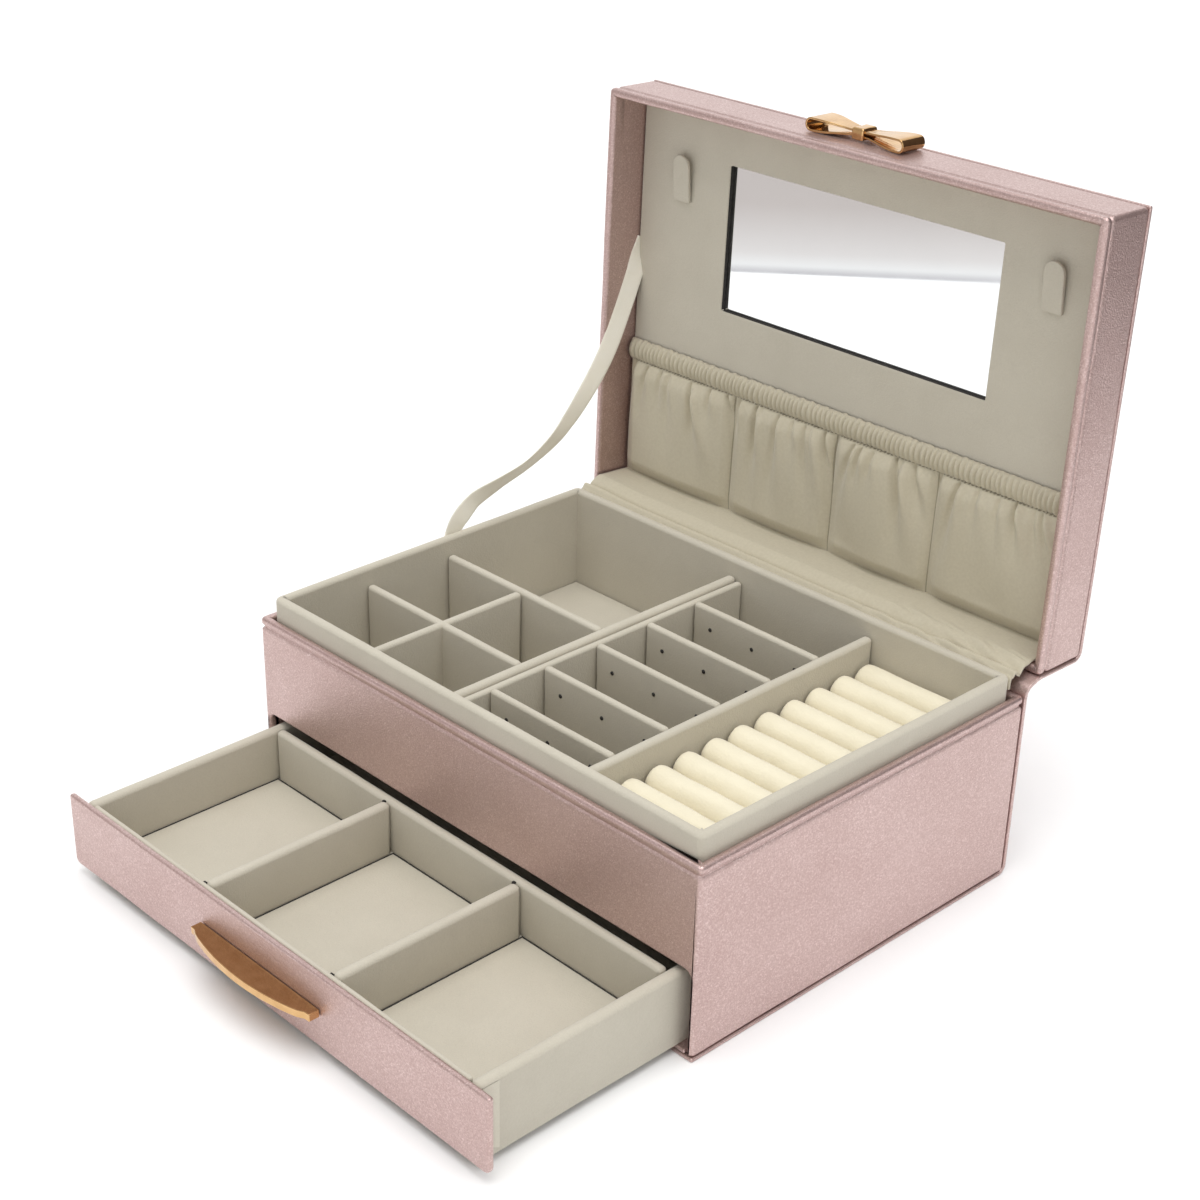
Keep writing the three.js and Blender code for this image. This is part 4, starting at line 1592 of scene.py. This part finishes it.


# ---- Pieces between the case and the lid ----


@dataclass
class HingeCloths:
    """The cloth hinge: the outer spine, the inner lining over it, and the stay ribbon."""

    bench: Bench
    spine_thickness: float = 0.0014
    lining_thickness: float = 0.0008
    ribbon_thickness: float = 0.0004
    ribbon_width: float = 0.0075
    ribbon_lean: float = math.radians(26)
    ribbon_twist: float = math.radians(54)

    def spine(self) -> None:
        """The leatherette that runs from the case's back board into the lid's."""
        opening = lid_opening()
        lower = box_of("back_cover_board")
        upper = shut_box_of("lid_back_cover_board")
        room = box_of("hinge_spine")
        y = lower.middle.y
        start = Vector((0, y, lower.high.z - 0.0003))
        end = opening @ Vector((0, y, upper.low.z + 0.0003))
        line = [start, start + Vector((0, 0.0003, 0.0018)), start + Vector((0, 0.0018, 0.0036)),
                Vector((0, (start.y + end.y) / 2 + 0.0004, end.z - 0.0006)),
                end + Vector((0, -0.0016, 0)), end]

        def place(across: float, along: float) -> Vector:
            """Across the case and up over the hinge."""
            at = along_line(line, along)
            x = room.low.x + room.span.x * across
            return at + Vector((x, noise.noise(Vector((x * 60, along * 2, 1.0))) * 0.0002, 0))

        bm = cloth_grid(46, 16, place)
        spine = self.bench.piece("spine_wrap", bm, Leatherette(), None, ("hinge_spine",),
                                 thickness=self.spine_thickness, offset=0.0, edge=0.0003)
        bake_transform(spine)
        line_length(line)

    def lining(self) -> None:
        """The cloth that lies over the tray's back rim and climbs into the lid."""
        opening = lid_opening()
        room = box_of("hinge_lining")
        rim = box_of("tray_wall_back")
        wall = shut_box_of("lid_wall_back")
        foot = rim.high.y + 0.0008
        up = wall.low.y - 0.0009
        top = rim.high.z
        before = opening @ Vector((0, up, wall.low.z - 0.0012))
        at_rim = opening @ Vector((0, up - 0.0002, wall.low.z + 0.003))
        end = opening @ Vector((0, up, shut_box_of("pocket_cloth").high.z - 0.0004))
        line = [Vector((0, foot, top - 0.0064)), Vector((0, foot + 0.0003, top - 0.0026)),
                Vector((0, foot + 0.0026, top - 0.0023)), Vector((0, foot + 0.0058, top - 0.0016)),
                before, at_rim, end]

        def place(across: float, along: float) -> Vector:
            """Across the case and back into the lid."""
            x = room.low.x + room.span.x * across
            at = along_line(line, along)
            middle = math.sin(math.pi * along)
            slack = eased(across, 0.55, 0.85) * noise.noise(Vector((x * 130 + along * 9, along * 9, 3.0)))
            broad = noise.noise(Vector((x * 28, along * 3, 8.0)))
            puff = hump(across, 0.03, 0.06) * 0.0011
            welt = hump(along, 0.34, 0.07) * 0.0017 - hump(along, 0.475, 0.03) * 0.0012
            lift = middle * (0.0011 * slack + 0.0004 * broad + puff) + welt
            return at + Vector((x, 0, lift))

        bm = cloth_grid(260, 60, place)
        finish = Cloth(width=room.span.x, length=line_length(line))
        lining = self.bench.piece("hinge_lining_cloth", bm, finish, None, ("hinge_lining",),
                                  thickness=self.lining_thickness, offset=0.0)
        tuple(line[2])
        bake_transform(lining)
        line_length(line)

    def ribbon(self) -> None:
        """The stay ribbon, slack, which leans over on its way down."""
        width = self.ribbon_width
        high_x, low_x = -0.11145, -0.11185
        line = [Vector(p) for p in (
            (low_x, 0.0078, 0.0806), (low_x, 0.012, 0.088), ((low_x + high_x) / 2, 0.0205, 0.094),
            (high_x, 0.0335, 0.0982), (high_x, 0.050, 0.1028), (high_x, 0.0674, 0.1114),
            (high_x, 0.0803, 0.1245), (high_x, 0.0916, 0.1396), (high_x, 0.1004, 0.157),
            (high_x, 0.1059, 0.1695), (high_x, 0.1092, 0.1775),
            (high_x, 0.1122, 0.1835))]
        length = line_length(line)

        def place(across: float, along: float) -> Vector:
            """Along the ribbon from the tray to the lid."""
            at = along_line(line, along)
            ahead = along_line(line, min(along + 0.01, 1.0)) - along_line(line, max(along - 0.01, 0.0))
            level = ahead.cross(Vector((1, 0, 0))).normalized()
            out = level.cross(ahead).normalized()
            turned = eased(along, 0.0, 0.14) - eased(along, 0.82, 0.97)
            turn = self.ribbon_lean * turned - self.ribbon_twist * hump(along, 0.33, 0.17)
            side = level * math.cos(turn) + out * math.sin(turn)
            reach = (across - 0.5) * width
            shift = abs(math.sin(turn)) * width * 0.32
            return at + side * reach + Vector((shift, 0, 0))

        bm = cloth_grid(8, 160, place)
        finish = Satin(width=width, length=length)
        ribbon = self.bench.piece("satin_stay", bm, finish, None, ("stay_ribbon",),
                                  thickness=self.ribbon_thickness, offset=0.0)
        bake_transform(ribbon)

    def build(self) -> None:
        """Builds the pieces between the case and the lid."""
        self.spine()
        self.lining()
        self.ribbon()


# ---- The studio ----


@dataclass
class Studio:
    """A pale floor, soft light and the camera."""

    eye: tuple[float, float, float] = (0.49507, -0.50395, 0.45025)
    azimuth: float = 47.08
    elevation: float = 28.23
    roll: float = 0.01048
    lens: float = 65.494
    shift: tuple[float, float] = (0.0456, 0.0530)
    sky: float = 0.42
    overhead: float = 1.95
    floor_shade: Colour = (0.93, 0.93, 0.93)
    glows: tuple = (((-0.60, 0.75, 0.28), 0.75), ((0.25, -0.95, 0.19), 0.35))

    def camera(self) -> None:
        """The camera, at a short distance to the right of the front."""
        a, e = math.radians(self.azimuth), math.radians(self.elevation)
        back = Vector((math.sin(a) * math.cos(e), -math.cos(a) * math.cos(e), math.sin(e)))
        right = Vector((0, 0, 1)).cross(back).normalized()
        up = back.cross(right)
        c, s = math.cos(self.roll), math.sin(self.roll)
        side, top = right * c + up * s, up * c - right * s
        data = bpy.data.cameras.new("camera")
        data.lens = self.lens
        data.sensor_width = 36.0
        data.shift_x, data.shift_y = self.shift
        data.clip_start, data.clip_end = 0.01, 100.0
        camera = linked("camera", data)
        camera.matrix_world = Matrix((
            (side.x, top.x, back.x, self.eye[0]),
            (side.y, top.y, back.y, self.eye[1]),
            (side.z, top.z, back.z, self.eye[2]),
            (0, 0, 0, 1)))
        bpy.context.scene.camera = camera

    def floor(self) -> None:
        """The plain pale floor."""
        bm = bmesh.new()
        bmesh.ops.create_grid(bm, x_segments=2, y_segments=2, size=6.0)
        floor = object_of("floor", bm)
        graph = Graph.blank("floor_paper")
        fibre = graph.speckle(graph.place(), 60.0)
        pale = tuple(value * 1.02 for value in self.floor_shade)
        material = graph.surface(Base_Color=graph.between(fibre, self.floor_shade, pale), Roughness=0.9)
        floor.data.materials.append(material)
        floor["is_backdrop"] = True

    def panel(self, name: str, at: Sequence[float], target: Sequence[float], size: float,
              power: float) -> None:
        """One soft light panel.

        Args:
            name: Its name.
            at: Where it stands.
            target: What it faces.
            size: Its side in metres.
            power: Its power in watts.
        """
        data = bpy.data.lights.new(name, "AREA")
        data.shape = "SQUARE"
        data.size = size
        data.energy = power
        light = linked(name, data)
        light.location = at
        light.rotation_euler = (Vector(target) - Vector(at)).to_track_quat("-Z", "Y").to_euler()

    def card(self, name: str, at: Sequence[float], facing: Sequence[float], size: tuple[float, float],
             shades: Sequence[tuple[float, Colour]]) -> None:
        """A standing card that is seen only in reflections.

        Args:
            name: Its name.
            at: The middle of its foot.
            facing: The level direction that it faces.
            size: Its width and height.
            shades: Its brightness at shares of its height, from the foot up.
        """
        bm = bmesh.new()
        bmesh.ops.create_grid(bm, x_segments=1, y_segments=1, size=0.5)
        bmesh.ops.scale(bm, vec=(size[0], size[1], 1.0), verts=bm.verts)
        turn = Vector(facing).to_track_quat("Z", "Y").to_matrix().to_4x4()
        bm.transform(Matrix.Translation(Vector(at) + Vector((0, 0, size[1] / 2))) @ turn)
        card = object_of(name, bm)
        graph = Graph.blank(name)
        axes = graph.node("ShaderNodeSeparateXYZ", {"Vector": graph.place()})
        share = graph.wire(axes.outputs["Z"]) * (1.0 / size[1])
        glow = graph.node("ShaderNodeValToRGB", {"Fac": share}, stops=shades)
        card.data.materials.append(graph.surface(Base_Color=(0.0, 0.0, 0.0), Roughness=1.0,
                                                 Emission_Color=glow.outputs["Color"], Emission_Strength=1.0))
        card.visible_camera = False
        card.visible_diffuse = False
        card.visible_shadow = False
        card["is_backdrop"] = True

    def light(self) -> None:
        """A pale surround, brighter behind the left and in front, with a sun and a soft panel."""
        world = bpy.data.worlds.new("surround")
        bpy.context.scene.world = world
        graph = Graph(world)
        place = graph.node("ShaderNodeTexCoord").outputs["Generated"]
        strength = self.sky
        for direction, glow in self.glows:
            towards = graph.node("ShaderNodeVectorMath", {0: place, 1: direction}, operation="DOT_PRODUCT")
            strength = graph.wire(towards.outputs["Value"]).positive() ** 2.0 * glow + strength
        background = graph.tree.nodes["Background"]
        graph.feed(background.inputs["Strength"], strength)
        graph.feed(background.inputs["Color"], (1.0, 1.0, 1.0))
        overhead = bpy.data.lights.new("overhead", "SUN")
        overhead.energy = self.overhead
        overhead.angle = math.radians(50)
        lamp = linked("overhead", overhead)
        lamp.rotation_euler = Vector((0.12, -0.14, 1.0)).to_track_quat("Z", "Y").to_euler()
        self.panel("key", (1.3, 0.1, 1.3), (0, 0, 0.08), 0.7, 3.0)
        dark = ((0.0, (0.06, 0.045, 0.045)), (1.0, (0.10, 0.08, 0.08)))
        self.card("dark_card", (0.38, 0.56, 0.0), (-0.5, -0.86, 0.0), (0.9, 0.8), dark)
        grey = ((0.0, (0.55, 0.54, 0.57)), (0.012, (0.93, 0.93, 0.93)), (0.03, (0.80, 0.77, 0.76)),
                (0.10, (0.60, 0.55, 0.53)), (1.0, (0.42, 0.38, 0.37)))
        self.card("grey_card", (-0.496, -0.37, 0.0), (0.77, 0.64, 0.0), (0.8, 0.5), grey)

    def build(self) -> None:
        """Sets the stage."""
        bpy.context.scene.view_settings.view_transform = "Standard"
        self.camera()
        self.floor()
        self.light()


def corners(bounds: Sequence) -> list:
    """A box as plain lists of numbers."""
    return [[float(value) for value in corner] for corner in bounds]


def main() -> None:
    """Builds the chest and its surroundings in order."""
    logging.basicConfig(level=logging.INFO)
    noise.seed_set(NOISE_SEED)
    cad_box = corners(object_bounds())
    Studio().build()
    wardrobe = Wardrobe()
    wardrobe.dress_frame()
    bench = Bench(wardrobe)
    case = Case(bench)
    parts = (case, Tray(bench), RingPads(bench), Drawer(bench), Lid(bench, case), Pocket(bench),
             HingeCloths(bench))
    for part in parts:
        part.build()
        log.info("%s done", type(part).__name__)
    {"cad": cad_box, "visual": corners(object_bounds())}


if __name__ == "__main__":
    main()
